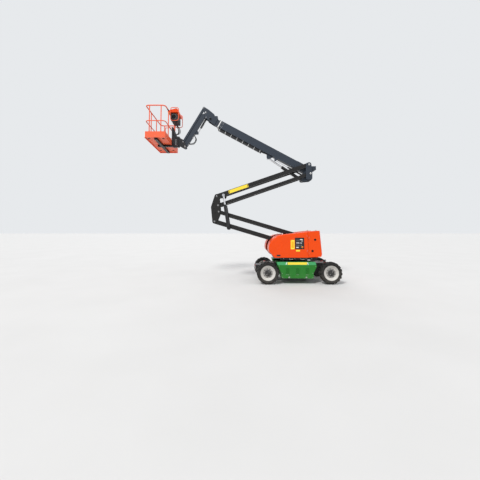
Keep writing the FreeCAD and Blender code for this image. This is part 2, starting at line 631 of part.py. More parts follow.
def make_top_knuckle():
    """Outer cheeks for the riser's end pins, and inner cheeks for the boom's pivot and its rams."""
    c = PIN_C_TOP
    outer = wrapped([(PIN_C_TOP, ARM_EYE_R), (add(c, (-60, 0)), 56), (add(c, (-66, -475)), 50),
                     (add(c, (44, -475)), 58), (PIN_D_TOP, LINK_EYE_R)], LINK_PLATE_Y0, LINK_PLATE_Y1)
    inner_y = (INNER_PLATE_Y0, INNER_PLATE_Y1)
    inner = [wrapped([(add(c, (0, 4)), 64), (BOOM_PIVOT, 112), (add(c, (52, -240)), 66)], *inner_y),
             wrapped([(LIFT_RAM_FOOT, 62), (BOOM_PIVOT, 100), (add(c, (40, -490)), 66)], *inner_y)]
    tail = [add(c, (60, -42)), add(c, (257, -42)), add(c, (257, -165)), add(c, (60, -260))]
    inner.append(plate(tail, *inner_y))
    pins = [across(p, PIN_R, INNER_PLATE_Y0, LINK_PLATE_Y1 + 1) for p in (PIN_C_TOP, PIN_D_TOP)]
    reach = INNER_PLATE_Y1 + 4
    tail_block = block(c[0] + 142, c[0] + 257, -INNER_PLATE_Y1, INNER_PLATE_Y1, c[1] - 165, c[1] - 42)
    middle = [tail_block, across(BOOM_PIVOT, PIVOT_R, -reach, reach)]
    for name, foot in (("lift_ram", LIFT_RAM_FOOT), ("level_ram", LEVEL_RAM_FOOT)):
        middle.append(across(foot, RAM_SIZES[name][6], -reach, reach))
    keep("top_knuckle", joined(both([outer] + inner + pins) + middle))


def make_main_boom():
    """The base section, drawn with its underside to +Z because the boom points to -X."""
    half_d = BOOM_DEPTH / 2
    w = BOOM_WALL
    tube = block(60, BOOM_LENGTH, -BOOM_HALF_W, BOOM_HALF_W, -half_d, half_d)
    bore = block(BASE_COLLAR[0] + 60, BOOM_LENGTH + 1, w - BOOM_HALF_W, BOOM_HALF_W - w,
                 w - half_d, half_d - w)
    base = across((0, 0), half_d - 4, -BOOM_HALF_W, BOOM_HALF_W)
    collars = []
    for (x0, x1), extra in ((BASE_COLLAR, 6), ((BOOM_LENGTH - NOSE_COLLAR, BOOM_LENGTH), 7)):
        side = BOOM_HALF_W + extra
        collars.append(block(x0, x1, -side, side, -half_d - extra, half_d + extra))
    body = joined([tube, base] + collars).cut(bore).cut(across((0, 0), PIVOT_R + PIN_GAP, -200, 200))
    eye = (LIFT_EYE_ALONG, LIFT_EYE_UNDER)
    lug_y = RAM_SIZES["lift_ram"][7] + 1
    lug = wrapped([((eye[0] - 120, half_d - 26), 24), (eye, 44), ((eye[0] + 100, half_d - 26), 24)],
                  lug_y, lug_y + 16)
    eye = (LEVEL_EYE_ALONG, LEVEL_EYE_UNDER)
    y, side = RAM_SIZES["level_ram"][0], RAM_SIZES["level_ram"][7] + 1
    outline = [((eye[0] - 60, half_d - 16), 14), (eye, 26), ((eye[0] + 60, half_d - 16), 14)]
    ears = [wrapped(outline, y - side - 8, y - side), wrapped(outline, y + side, y + side + 8)]
    # Nothing of the lugs reaches into the bore
    lugs = [piece.cut(bore) for piece in both([lug]) + ears]
    keep("main_boom", placed(joined([body] + lugs), BOOM_PIVOT, 180 - BOOM_ANGLE))
    tray = box_tube(TRAY_START, BOOM_LENGTH - TRAY_END_GAP, -TRAY_HALF_W, TRAY_HALF_W,
                    half_d, half_d + TRAY_DEPTH, TRAY_WALL)
    keep("hose_tray", placed(tray, BOOM_PIVOT, 180 - BOOM_ANGLE))


def make_fly():
    """The sliding section on its pads, and the fork that carries the nose pin."""
    half_w = BOOM_HALF_W - BOOM_WALL - FLY_PLAY
    half_d = BOOM_DEPTH / 2 - BOOM_WALL - FLY_PLAY
    start, end = BOOM_LENGTH - FLY_HIDDEN, BOOM_LENGTH + FLY_OUT
    tube = box_tube(start, end, -half_w, half_w, -half_d, half_d, FLY_WALL)
    pads = []
    for x in (start, BOOM_LENGTH - 140):
        w, d = half_w + FLY_PLAY - SIDE_GAP, half_d + FLY_PLAY - SIDE_GAP
        room = block(x - 1, x + 101, 2 - half_w, half_w - 2, 2 - half_d, half_d - 2)
        pads.append(block(x, x + 100, -w, w, -d, d).cut(room))
    keep("fly_tube", placed(joined([tube] + pads), BOOM_PIVOT, 180 - BOOM_ANGLE))
    ear = wrapped([((end + 20, 20 - half_d), 20), ((end + 20, half_d - 20), 20), ((NOSE_REACH, 0), 92),
                   ((end + 62, -half_d - 55), 40)], JIB_PLATE_Y1 + 2, BOOM_HALF_W)
    foot = block(end, end + 16, -BOOM_HALF_W, BOOM_HALF_W, -half_d, half_d)
    pin = across((NOSE_REACH, 0), NOSE_PIN_R, -BOOM_HALF_W - 6, BOOM_HALF_W + 6)
    keep("fly_fork", placed(joined(both([ear]) + [foot, pin]), BOOM_PIVOT, 180 - BOOM_ANGLE))


def jib_stubs(jib_point, link_point):
    """The jib's pin right across, and a stub for the link's bar on each side."""
    link = across(link_point, JIB_LINK_R, JIB_LINK_Y0 - 1, JIB_PLATE_Y1)
    return [across(jib_point, JIB_PIN_R, -JIB_PLATE_Y1, JIB_PLATE_Y1), link, flipped(link)]


def make_jib():
    """The nose bracket, the jib's beam and its two link bars, and the bracket at the lower end."""
    y0, y1 = JIB_PLATE_Y0, JIB_PLATE_Y1
    shoulders = [(add(NOSE_PIN, place), radius) for place, radius in NOSE_SHOULDERS]
    bosses = [(NOSE_PIN, 72), (JIB_RAM_FOOT, 38), (JIB_PIN, 52), (JIB_LINK_PIN, 36)]
    cheek = wrapped(bosses + shoulders, y0, y1)
    hole = across(NOSE_PIN, NOSE_PIN_R + PIN_GAP, -y1 - 1, y1 + 1)
    web_x = NOSE_PIN[0] + NOSE_PIN_R + 8
    web = block(web_x, web_x + 16, -y0 - 1, y0 + 1, NOSE_PIN[1] - 45, NOSE_PIN[1] + 45)
    foot_pin = across(JIB_RAM_FOOT, RAM_SIZES["jib_ram"][6], -y1, y1)
    pieces = both([cheek]) + [web, foot_pin] + jib_stubs(JIB_PIN, JIB_LINK_PIN)
    keep("nose_bracket", joined(pieces).cut(hole))

    half_d = JIB_DEPTH / 2
    outline = [(52, half_d), (JIB_LENGTH - 52, half_d), (JIB_LENGTH - 52, -half_d),
               (JIB_LENGTH - 150, -JIB_BACK_DEPTH), (150, -JIB_BACK_DEPTH), (52, -half_d)]
    beam = [hollow(outline, -JIB_HALF_W, JIB_HALF_W, JIB_WALL)]
    beam += [across((x, 0), 54, -JIB_HALF_W, JIB_HALF_W) for x in (0, JIB_LENGTH)]
    lug_y = RAM_SIZES["jib_ram"][7] + 1
    lug = wrapped([((JIB_EYE_ALONG - 90, half_d - 16), 14), ((JIB_EYE_ALONG, JIB_EYE_UNDER), 30),
                   ((JIB_EYE_ALONG + 70, half_d - 16), 14)], lug_y, lug_y + 12)
    beam = joined(beam + both([lug]))
    for x in (0, JIB_LENGTH):
        beam = beam.cut(across((x, 0), JIB_PIN_R + PIN_GAP, -200, 200))
    keep("jib_boom", placed(beam, JIB_PIN, JIB_ANGLE))

    bar = [block(0, JIB_LENGTH, JIB_LINK_Y0, JIB_LINK_Y1, -32, 32)]
    bar = joined(bar + [across((x, 0), 34, JIB_LINK_Y0, JIB_LINK_Y1) for x in (0, JIB_LENGTH)])
    for x in (0, JIB_LENGTH):
        bar = bar.cut(across((x, 0), JIB_LINK_R + PIN_GAP, 0, 200))
    keep("jib_link", placed(pair(bar), JIB_LINK_PIN, JIB_ANGLE))

    low, high = ROTATOR_Z
    back_x = ROTATOR_X + 50
    cheek = wrapped([(JIB_END_PIN, 55), (JIB_LINK_END, 40), ((back_x + 18, high - 30), 18),
                     ((back_x + 18, low + 30), 18)], y0, y1)
    back = block(back_x, back_x + 30, -y1, y1, low + 12, high - 12)
    housing = upright(ROTATOR_X, 0, ROTATOR_R, low, high)
    keep("jib_end_bracket", joined(both([cheek]) + [back, housing] + jib_stubs(JIB_END_PIN, JIB_LINK_END)))


def ram(name, foot, eye):
    """A ram between two pins, drawn along +X: a barrel with its foot eye, and a rod with its eye."""
    y, barrel_r, rod_r, barrel_l, foot_r, eye_r, pin_r, half, run_in = RAM_SIZES[name]
    along = Vector(1, 0, 0)
    length = math.dist(foot, eye)
    tube = Part.makeCylinder(barrel_r, barrel_l - foot_r * 0.8, Vector(foot_r * 0.8, y, 0), along)
    gland = Part.makeCylinder(barrel_r + GLAND_EXTRA, GLAND_LENGTH,
                              Vector(barrel_l - GLAND_LENGTH + 4, y, 0), along)
    barrel = joined([tube, gland, across((0, 0), foot_r, y - half, y + half)])
    bottom = foot_r + RAM_BOTTOM
    bore = Part.makeCylinder(rod_r + SIDE_GAP, barrel_l - bottom + 10, Vector(bottom, y, 0), along)
    barrel = barrel.cut(bore).cut(across((0, 0), pin_r + PIN_GAP, y - half - 1, y + half + 1))
    start = bottom + 8 + run_in
    rod = Part.makeCylinder(rod_r, length - eye_r * 0.7 - start, Vector(start, y, 0), along)
    rod = joined([rod, across((length, 0), eye_r, y - half, y + half)])
    angle = direction(foot, eye)
    for piece, shape in (("barrel", barrel), ("rod", rod)):
        keep(f"{name}_{piece}", placed(pair(shape) if y > barrel_r * 2 else shape, foot, angle))


def make_rams():
    for name, foot, eye in (("riser_ram", RISER_RAM_FOOT, RISER_RAM_EYE),
                            ("lift_ram", LIFT_RAM_FOOT, LIFT_RAM_EYE),
                            ("level_ram", LEVEL_RAM_FOOT, LEVEL_RAM_EYE),
                            ("jib_ram", JIB_RAM_FOOT, JIB_RAM_EYE)):
        ram(name, foot, eye)
    y, half, pin_r = RAM_SIZES["riser_ram"][0], RAM_SIZES["riser_ram"][7], RAM_SIZES["riser_ram"][6]
    # Bosses outside the arms carry the riser rams
    foot = joined([across(RISER_RAM_FOOT, 62, ARM_Y1, ARM_Y1 + 17),
                   across(RISER_RAM_FOOT, 40, ARM_Y1, y - half - SIDE_GAP),
                   across(RISER_RAM_FOOT, pin_r, ARM_Y1, y + half + 6)])
    keep("lower_arm", joined([NODES["lower_arm"]] + both([foot])))
    pad = across(RISER_RAM_EYE, 84, ARM_Y1, ARM_Y1 + 4)
    sides = [joined([solid, pad if solid.BoundBox.YMin > 0 else flipped(pad)])
             for solid in NODES["upper_arm"].Solids]
    keep("upper_arm", Part.makeCompound(sides))


def rail_loop(x0, x1, half_y, z, radius):
    """A round rail in a closed loop, whose bends are short mitred runs."""
    r = RAIL_CORNER
    points = []
    for cx, cy, start in ((x1 - r, half_y - r, 0), (x0 + r, half_y - r, 90),
                          (x0 + r, r - half_y, 180), (x1 - r, r - half_y, 270)):
        for i in range(RAIL_STEPS + 1):
            a = math.radians(start + 90 * i / RAIL_STEPS)
            points.append(Vector(cx + r * math.cos(a), cy + r * math.sin(a), z))
    first = (points[-1] + points[0]) * 0.5
    section = Part.Wire(Part.makeCircle(radius, first, points[0] - points[-1]))
    return Part.makePolygon([first] + points + [first]).makePipeShell([section], True, True, 1)


def make_basket():
    x0, x1, hy, r, t = BASKET_X0, BASKET_X1, BASKET_HALF_Y, RAIL_R, TOE_T
    sheet = block(x0 + t, x1 - t, t - hy, hy - t, FLOOR_Z - FLOOR_T, FLOOR_Z)
    middle, half_w = (x0 + x1) / 2, FLOOR_BEAM_W / 2
    low, high = FLOOR_Z - FLOOR_BEAM_H, FLOOR_Z - FLOOR_T + 1
    beams = [block(middle - half_w, middle + half_w, FLOOR_BEAM_W - hy, hy - FLOOR_BEAM_W, low, high),
             block(x0 + 2 * FLOOR_BEAM_W, x1 - t - 1, -half_w, half_w, low, high)]
    keep("basket_floor", joined([sheet] + beams))
    toe = block(x0, x1, -hy, hy, FLOOR_Z - 45, TOE_TOP)
    keep("toe_boards", toe.cut(block(x0 + t, x1 - t, t - hy, hy - t, FLOOR_Z - 60, TOE_TOP + 10)))
    xa, xb, yb = x0 + r, x1 - r, hy - r
    top_z = TOP_RAIL_Z - r
    pieces = [rail_loop(xa, xb, yb, top_z, r), rail_loop(xa, xb, yb, MID_RAIL_Z, r * 0.8)]
    corner = RAIL_CORNER + POST_STEP
    for x, y in ((xa, yb / 3), (xa + corner, yb), (xb - corner, yb), (xb, yb * 0.53)):
        pieces += both([upright(x, y, POST_R, TOE_TOP, top_z)])
    rails = joined(pieces)
    # The gate takes the place of the middle rail at the left end
    stub = POST_R + RAIL_STUB
    door_x0, door_x1 = xa + corner + stub, xb - corner - stub
    door_z0, door_z1 = TOE_TOP + 32, top_z - 66
    rails = rails.cut(block(door_x0, door_x1, yb - 60, yb + 60, door_z0 - 10, door_z1 + 6))
    hinge_x, far_x = GATE_HINGE_X, door_x1 - GATE_PLAY - GATE_R
    for z in (TOE_TOP + 150, MID_RAIL_Z + 120):
        eye = upright(hinge_x, yb, GATE_R + 7, z, z + 40)
        rails = joined([rails, eye, block(xa + corner, hinge_x, yb - 8, yb + 8, z, z + 40)])
    keep("basket_rails", rails.cut(upright(hinge_x, yb, GATE_R + PIN_GAP, door_z0 - 2, door_z1 + 6)))
    gate = [upright(x, yb, GATE_R, door_z0, door_z1) for x in (hinge_x, far_x)]
    for z in (door_z0 + GATE_R, MID_RAIL_Z, door_z1 - GATE_R):
        gate.append(Part.makeCylinder(GATE_R - 1, far_x - hinge_x, Vector(hinge_x, yb, z), Vector(1, 0, 0)))
    keep("basket_gate", joined(gate))
    make_console(x1, top_z)
    make_mount(x1)


def make_console(rail_x, rail_z):
    """A hooded console that sits on the top rail, with its case hung outside the rail."""
    half, w = CONSOLE_HALF_W, CONSOLE_WALL
    under = rail_z - RAIL_R - 8
    case_x, case_z = rail_x + CONSOLE_CASE[0], TOP_RAIL_Z - CONSOLE_CASE[1]
    case = block(rail_x + 0.3, case_x, 20 - half, half - 20, case_z, under)
    case = case.cut(block(rail_x + 9, case_x - w, 26 - half, half - 26, case_z + w, under - w))
    lid = hollow([add((rail_x, TOP_RAIL_Z), corner) for corner in CONSOLE_LID], -half, half, w)
    spine = block(rail_x + 0.3, rail_x + 30, 20 - half, half - 20, TOP_RAIL_Z - 100, TOP_RAIL_Z + 2)
    keep("console", joined([case, lid, spine]))


def make_mount(basket_x):
    """The post behind the basket and the two arms that hold the rotator from above and below."""
    low, high = ROTATOR_Z
    pieces = [block(basket_x, basket_x + 46, -70, 70, FLOOR_Z - FLOOR_BEAM_H, FLOOR_Z + MOUNT_H)]
    for z0, z1 in ((high + SIDE_GAP, high + 40), (low - 40, low - SIDE_GAP)):
        pieces.append(block(basket_x + 45, ROTATOR_X, -60, 60, z0, z1))
        pieces.append(upright(ROTATOR_X, 0, 60, z0, z1))
    keep("basket_mount", joined(pieces))


make_wheels()
make_axles()
make_chassis()
make_turret()
make_hoods()
make_riser()
make_top_knuckle()
make_main_boom()
make_fly()
make_jib()
make_rams()
make_basket()

for node_name, node_shape in NODES.items():
    node_shape.exportStep(f"parts/{node_name}.step")
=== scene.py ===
"""Dresses the articulating boom lift: the finish of every surface, and the bolts, controls and trim.

Metres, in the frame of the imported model: +X is the steered end, +Y the left side, +Z up.
"""
import json
import math

import bmesh
import bpy
from mathutils import Matrix, Vector


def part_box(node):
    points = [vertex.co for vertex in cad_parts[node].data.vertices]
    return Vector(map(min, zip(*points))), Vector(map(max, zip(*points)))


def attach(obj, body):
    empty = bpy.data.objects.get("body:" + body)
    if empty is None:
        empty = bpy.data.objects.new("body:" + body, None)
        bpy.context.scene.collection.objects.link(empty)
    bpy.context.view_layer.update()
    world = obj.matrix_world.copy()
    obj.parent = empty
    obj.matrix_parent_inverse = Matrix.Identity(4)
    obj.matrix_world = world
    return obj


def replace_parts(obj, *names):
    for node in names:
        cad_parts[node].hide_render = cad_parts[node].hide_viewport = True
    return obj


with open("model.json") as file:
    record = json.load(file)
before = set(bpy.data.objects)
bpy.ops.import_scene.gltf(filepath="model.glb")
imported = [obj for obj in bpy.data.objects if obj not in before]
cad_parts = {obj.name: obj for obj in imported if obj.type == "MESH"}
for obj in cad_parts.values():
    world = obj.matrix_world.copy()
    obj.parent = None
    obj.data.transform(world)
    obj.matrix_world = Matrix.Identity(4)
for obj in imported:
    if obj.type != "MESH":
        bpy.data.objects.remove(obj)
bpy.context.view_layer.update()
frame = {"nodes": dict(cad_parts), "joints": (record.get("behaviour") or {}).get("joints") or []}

SIDES = (("left", 1), ("right", -1))


def pin(joint):
    """The place of a joint of the frame."""
    found = [j for j in frame["joints"] if j["name"] == joint]
    return Vector(found[0]["pos_m"])


def angle_between(a, b):
    return math.degrees(math.atan2(b.z - a.z, b.x - a.x))


def along(origin, angle):
    """A frame at a pin whose X runs along a direction in the XZ plane and whose Y stays the object's."""
    turn = Matrix.Rotation(-math.radians(angle), 4, "Y")
    return Matrix.Translation(Vector((origin.x, 0, origin.z))) @ turn


# Finishes


class Graph:
    """Adds shader nodes to one material."""

    def __init__(self, material):
        material.use_nodes = True
        self.tree = material.node_tree
        self.shader = self.tree.nodes["Principled BSDF"]
        self.coords = self.node("ShaderNodeTexCoord").outputs["Object"]

    def node(self, kind, **inputs):
        made = self.tree.nodes.new(kind)
        for name, value in inputs.items():
            self.feed(made, name.replace("_", " "), value)
        return made

    def feed(self, node, name, value):
        socket = node.inputs[name]
        if isinstance(value, bpy.types.NodeSocket):
            self.tree.links.new(value, socket)
        else:
            socket.default_value = value

    def noise(self, scale, detail=3.0, stretch=None):
        source = self.coords
        if stretch:
            source = self.node("ShaderNodeMapping", Vector=self.coords, Scale=stretch).outputs[0]
        return self.node("ShaderNodeTexNoise", Vector=source, Scale=scale, Detail=detail).outputs["Fac"]

    def spread(self, value, low, high, to_low=0.0, to_high=1.0):
        made = self.node("ShaderNodeMapRange", Value=value, From_Min=low, From_Max=high, To_Min=to_low,
                         To_Max=to_high)
        return made.outputs[0]

    def times(self, a, b):
        made = self.node("ShaderNodeMath")
        made.operation = "MULTIPLY"
        self.feed(made, 0, a)
        self.feed(made, 1, b)
        return made.outputs[0]

    def mix(self, share, a, b):
        made = self.tree.nodes.new("ShaderNodeMix")
        made.data_type = "RGBA"
        self.feed(made, 0, share)
        self.feed(made, 6, a)
        self.feed(made, 7, b)
        return made.outputs[2]


def tinted(color, factor):
    return tuple(min(1.0, c * factor) for c in color) + (1.0,)


DUST = (0.30, 0.26, 0.21, 1.0)


def finish(name, color, rough=0.45, metal=0.0, spread=0.08, grain=600.0, bump=0.05, coat=0.0, wear=0.0,
           wear_color=(0.25, 0.25, 0.25), dust=0.0, dust_top=0.9, stretch=None, ior=1.38, lower=None):
    """One procedural finish: colour patches, fine grain, dust that thickens towards the ground, worn edges.

    What is lower than lower's height takes lower's colour.
    """
    material = bpy.data.materials.new(name)
    g = Graph(material)
    patches = g.noise(2.3, 5.0)
    look = g.mix(patches, tinted(color, 1 - spread), tinted(color, 1 + spread))
    if lower:
        height = g.node("ShaderNodeSeparateXYZ", Vector=g.coords).outputs["Z"]
        look = g.mix(g.spread(height, lower[0] - 0.0002, lower[0]), tinted(lower[1], 1.0), look)
    specks = g.noise(42.0, 6.0)
    if wear:
        rounded = g.node("ShaderNodeBevel", Radius=0.004)
        rounded.samples = 4
        facing = g.node("ShaderNodeVectorMath")
        facing.operation = "DOT_PRODUCT"
        g.feed(facing, 0, rounded.outputs[0])
        g.feed(facing, 1, g.node("ShaderNodeNewGeometry").outputs["Normal"])
        edge = g.spread(facing.outputs["Value"], 0.99, 0.90)
        chipped = g.times(edge, g.spread(specks, 0.50, 0.62, 0.0, wear))
        look = g.mix(chipped, look, tinted(wear_color, 1.0))
    if dust:
        height = g.node("ShaderNodeSeparateXYZ", Vector=g.coords).outputs["Z"]
        low = g.spread(height, dust_top, 0.0)
        cover = g.times(low, g.spread(g.noise(9.0, 6.0), 0.35, 0.75, 0.15 * dust, dust))
        look = g.mix(cover, look, DUST)
    g.feed(g.shader, "Base Color", look)
    g.feed(g.shader, "Roughness", g.spread(specks, 0.3, 0.7, rough - 0.05, rough + 0.08))
    g.shader.inputs["Metallic"].default_value = metal
    g.shader.inputs["IOR"].default_value = ior
    if coat:
        g.shader.inputs["Coat Weight"].default_value = coat
        g.shader.inputs["Coat Roughness"].default_value = 0.12
    if bump:
        height = g.node("ShaderNodeBump", Height=g.noise(grain, 2.0, stretch), Strength=bump, Distance=0.001)
        g.feed(g.shader, "Normal", height.outputs[0])
    return material


ORANGE = (0.76, 0.062, 0.001)
BASKET_RED = (0.82, 0.125, 0.048)
GREEN = (0.010, 0.165, 0.012)
GREEN_BAND = (0.050, 0.330, 0.115)
BOOM_BLUE = (0.029, 0.038, 0.052)
RISER_BROWN = (0.013, 0.0125, 0.012)
YELLOW = (0.88, 0.66, 0.05)

LOOKS = {
    "boom_paint": finish("boom_paint", BOOM_BLUE, 0.42, wear=0.5, spread=0.12),
    "riser_paint": finish("riser_paint", RISER_BROWN, 0.42, wear=0.5, spread=0.12),
    "orange_paint": finish("orange_paint", ORANGE, 0.30, ior=1.28, coat=0.10, spread=0.05, bump=0.03),
    "orange_cast": finish("orange_cast", ORANGE, 0.38, ior=1.28, coat=0.06, spread=0.07, grain=140.0, bump=0.12),
    "basket_paint": finish("basket_paint", BASKET_RED, 0.38, wear=0.6, wear_color=(0.5, 0.42, 0.38)),
    "green_paint": finish("green_paint", GREEN, 0.35, coat=0.1, dust=0.12, dust_top=0.5),
    "green_band": finish("green_band", GREEN_BAND, 0.33, coat=0.1),
    "black_paint": finish("black_paint", (0.020, 0.021, 0.023), 0.45, wear=0.5, dust=0.25, dust_top=0.8),
    "ram_paint": finish("ram_paint", (0.012, 0.012, 0.013), 0.30, coat=0.3),
    "chrome": finish("chrome", (0.78, 0.78, 0.79), 0.10, metal=1.0, spread=0.02, bump=0.0),
    "zinc": finish("zinc", (0.55, 0.55, 0.53), 0.38, metal=1.0, spread=0.12, grain=900.0, bump=0.05),
    "pin_steel": finish("pin_steel", (0.30, 0.30, 0.30), 0.35, metal=1.0, spread=0.15),
    "rim_paint": finish("rim_paint", (0.62, 0.60, 0.56), 0.45, dust=0.35, dust_top=0.8, spread=0.06),
    "rim_grey": finish("rim_grey", (0.22, 0.21, 0.20), 0.5, dust=0.35, dust_top=0.8),
    "tyre_rubber": finish("tyre_rubber", (0.012, 0.012, 0.012), 0.78, dust=0.22, dust_top=0.75, grain=300.0,
                          bump=0.25, spread=0.15),
    "black_plastic": finish("black_plastic", (0.022, 0.022, 0.023), 0.55, grain=1400.0, bump=0.2),
    "grey_plastic": finish("grey_plastic", (0.13, 0.13, 0.135), 0.5, grain=1400.0, bump=0.15),
    "red_plastic": finish("red_plastic", (0.62, 0.018, 0.012), 0.32, coat=0.3, bump=0.0),
    "yellow_vinyl": finish("yellow_vinyl", YELLOW, 0.42, spread=0.04, bump=0.0),
    "pale_vinyl": finish("pale_vinyl", (0.72, 0.72, 0.70), 0.42, spread=0.04, bump=0.0),
    "hose_rubber": finish("hose_rubber", (0.016, 0.016, 0.017), 0.55, grain=900.0, bump=0.2),
    "lens_glass": finish("lens_glass", (0.03, 0.04, 0.045), 0.06, coat=1.0, bump=0.0, spread=0.02),
    "white_plastic": finish("white_plastic", (0.75, 0.74, 0.70), 0.4, bump=0.05, dust=0.2),
    "deck_grey": finish("deck_grey", (0.16, 0.155, 0.15), 0.5, wear=0.6, dust=0.5, dust_top=1.2),
    "panel_dark": finish("panel_dark", (0.030, 0.030, 0.032), 0.42, grain=700.0, bump=0.08),
    "basket_floor_paint": finish("basket_floor_paint", BASKET_RED, 0.40, wear=0.4,
                                 lower=(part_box("basket_floor")[1].z - 0.0083, (0.014, 0.013, 0.013))),
    # Near-black matt finish for flat discs that stand for holes and bores: painted shade of their unlit insides.
    "hole_dark": finish("hole_dark", (0.006, 0.006, 0.006), 0.9, bump=0.0),
    "amber_vinyl": finish("amber_vinyl", (0.80, 0.42, 0.01), 0.42, spread=0.04, bump=0.0),
    "floor_plate": finish("floor_plate", (0.06, 0.062, 0.065), 0.4, metal=0.6, wear=0.6, dust=0.0),
    "case_plastic": finish("case_plastic", (0.045, 0.047, 0.05), 0.6, grain=900.0, bump=0.15),
}


# Shapes


class Piece:
    """Collects shapes that share a body and a finish into one mesh object."""

    def __init__(self, name, body, look, slot=None, place=None):
        self.name, self.body, self.look, self.slot = name, body, look, slot
        self.place = place or Matrix.Identity(4)
        self.verts, self.faces = [], []

    def add(self, verts, faces, place=None):
        base = len(self.verts)
        full = self.place @ place if place else self.place
        self.verts += [full @ Vector(v) for v in verts]
        self.faces += [tuple(base + i for i in f) for f in faces]

    def block(self, low, high, place=None):
        xs, ys, zs = ((low[i], high[i]) for i in range(3))
        verts = [(x, y, z) for x in xs for y in ys for z in zs]
        faces = [(0, 1, 3, 2), (4, 6, 7, 5), (0, 4, 5, 1), (2, 3, 7, 6), (0, 2, 6, 4), (1, 5, 7, 3)]
        self.add(verts, faces, place)

    def plate(self, side, low, high, place=None):
        """A block given by its (x, distance from the middle plane, z) corners, on one side of the object."""
        y0, y1 = sorted((side * low[1], side * high[1]))
        self.block((low[0], y0, low[2]), (high[0], y1, high[2]), place)

    def slab(self, outline, y0, y1, place=None):
        """A flat plate with an (x, z) outline between two Y planes."""
        n = len(outline)
        verts = [(x, y, z) for y in (y0, y1) for x, z in outline]
        faces = [tuple(range(n)), tuple(range(2 * n - 1, n - 1, -1))]
        faces += [(i, (i + 1) % n, n + (i + 1) % n, n + i) for i in range(n)]
        self.add(verts, faces, place)

    def lathe(self, at, axis, profile, sides=32, closed=False, place=None):
        """Turns (radius, height) points about an axis; open profiles are capped where the radius isn't nought."""
        axis = Vector(axis).normalized()
        turn = Vector((0, 0, 1)).rotation_difference(axis).to_matrix()
        at = Vector(at)
        verts, faces = [], []
        for r, h in profile:
            for k in range(sides):
                a = 2 * math.pi * (k + 0.5) / sides
                verts.append(at + turn @ Vector((r * math.cos(a), r * math.sin(a), h)))
        rows = len(profile)
        for i in range(rows if closed else rows - 1):
            j = (i + 1) % rows
            for k in range(sides):
                m = (k + 1) % sides
                faces.append((i * sides + k, i * sides + m, j * sides + m, j * sides + k))
        if not closed:
            faces.append(tuple(range(sides - 1, -1, -1)))
            faces.append(tuple((rows - 1) * sides + k for k in range(sides)))
        self.add(verts, faces, place)

    def bar(self, a, b, r, sides=20, chamfer=0.0, place=None):
        a, b = Vector(a), Vector(b)
        length = (b - a).length
        c = chamfer
        profile = [(r - c, 0), (r, c), (r, length - c), (r - c, length)] if c else [(r, 0), (r, length)]
        self.lathe(a, b - a, profile, sides, place=place)

    def nut(self, at, axis, r, height=None, place=None):
        """A hexagon on a washer, with the bolt's end standing out of it."""
        h = height or r * 0.85
        self.lathe(at, axis, [(r * 1.3, 0), (r * 1.3, r * 0.18)], 16, place=place)
        lift = Vector(at) + Vector(axis).normalized() * r * 0.18
        self.lathe(lift, axis, [(r, 0), (r, h - r * 0.15), (r * 0.86, h)], 6, place=place)
        top = lift + Vector(axis).normalized() * h
        self.lathe(top, axis, [(r * 0.5, 0), (r * 0.5, r * 0.3), (r * 0.42, r * 0.4)], 10, place=place)

    def tube(self, points, r, sides=12, place=None):
        """A bent pipe through points, with smooth bends."""
        curve = bpy.data.curves.new("path", "CURVE")
        curve.dimensions = "3D"
        spline = curve.splines.new("NURBS")
        spline.points.add(len(points) - 1)
        for p, co in zip(spline.points, points):
            p.co = (*co, 1.0)
        spline.order_u = 3
        spline.use_endpoint_u = True
        curve.resolution_u = 6
        curve.bevel_depth = r
        curve.bevel_resolution = max(1, sides // 4 - 1)
        curve.use_fill_caps = True
        holder = bpy.data.objects.new("path", curve)
        mesh = bpy.data.meshes.new_from_object(holder)
        self.add([v.co for v in mesh.vertices], [tuple(p.vertices) for p in mesh.polygons], place)
        bpy.data.meshes.remove(mesh)
        bpy.data.objects.remove(holder)
        bpy.data.curves.remove(curve)

    def done(self, bevel=0.0, smooth=34, segments=2):
        mesh = bpy.data.meshes.new(self.name)
        mesh.from_pydata(self.verts, [], self.faces)
        work = bmesh.new()
        work.from_mesh(mesh)
        bmesh.ops.recalc_face_normals(work, faces=work.faces)
        work.to_mesh(mesh)
        work.free()
        for polygon in mesh.polygons:
            polygon.use_smooth = True
        mesh.set_sharp_from_angle(angle=math.radians(smooth))
        made = bpy.data.objects.new(self.name, mesh)
        bpy.context.scene.collection.objects.link(made)
        mesh.materials.append(LOOKS[self.look])
        if bevel:
            soften = made.modifiers.new("soften", "BEVEL")
            soften.width = bevel
            soften.segments = segments
            soften.limit_method = "ANGLE"
            soften.angle_limit = math.radians(40)
            soften.harden_normals = True
        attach(made, self.body)
        return made


# Finishes of the CAD nodes


def wears(node):
    """The finish of a CAD node, by its name."""
    table = (("tyre_", "tyre_rubber"), ("wheel_", "rim_paint"), ("side_cover", "green_paint"),
             ("hood_", "orange_paint"), ("counterweight", "orange_cast"), ("toe_boards", "basket_paint"),
             ("basket_rails", "basket_paint"), ("basket_gate", "basket_paint"), ("basket_floor", "basket_floor_paint"), ("turret_pins", "pin_steel"),
             ("ground_controls", "black_plastic"), ("console", "black_plastic"), ("batteries", "case_plastic"),
             ("hose_tray", "black_plastic"), ("lower_", "riser_paint"), ("mid_link", "riser_paint"),
             ("upper_", "riser_paint"), ("main_boom", "boom_paint"), ("fly_", "boom_paint"),
             ("nose_bracket", "boom_paint"), ("jib_boom", "boom_paint"), ("jib_link", "boom_paint"),
             ("top_knuckle", "boom_paint"), ("tie_rod", "pin_steel"))
    if node.endswith("_barrel"):
        return "ram_paint"
    if node.endswith("_rod") and node != "tie_rod":
        return "chrome"
    for start, look in table:
        if node.startswith(start):
            return look
    return "black_paint"


def dress_nodes():
    for node, item in frame["nodes"].items():
        look = LOOKS[wears(node)]
        if not item.data.materials:
            item.data.materials.append(look)
        for place in item.material_slots:
            place.material = look


# Wheels


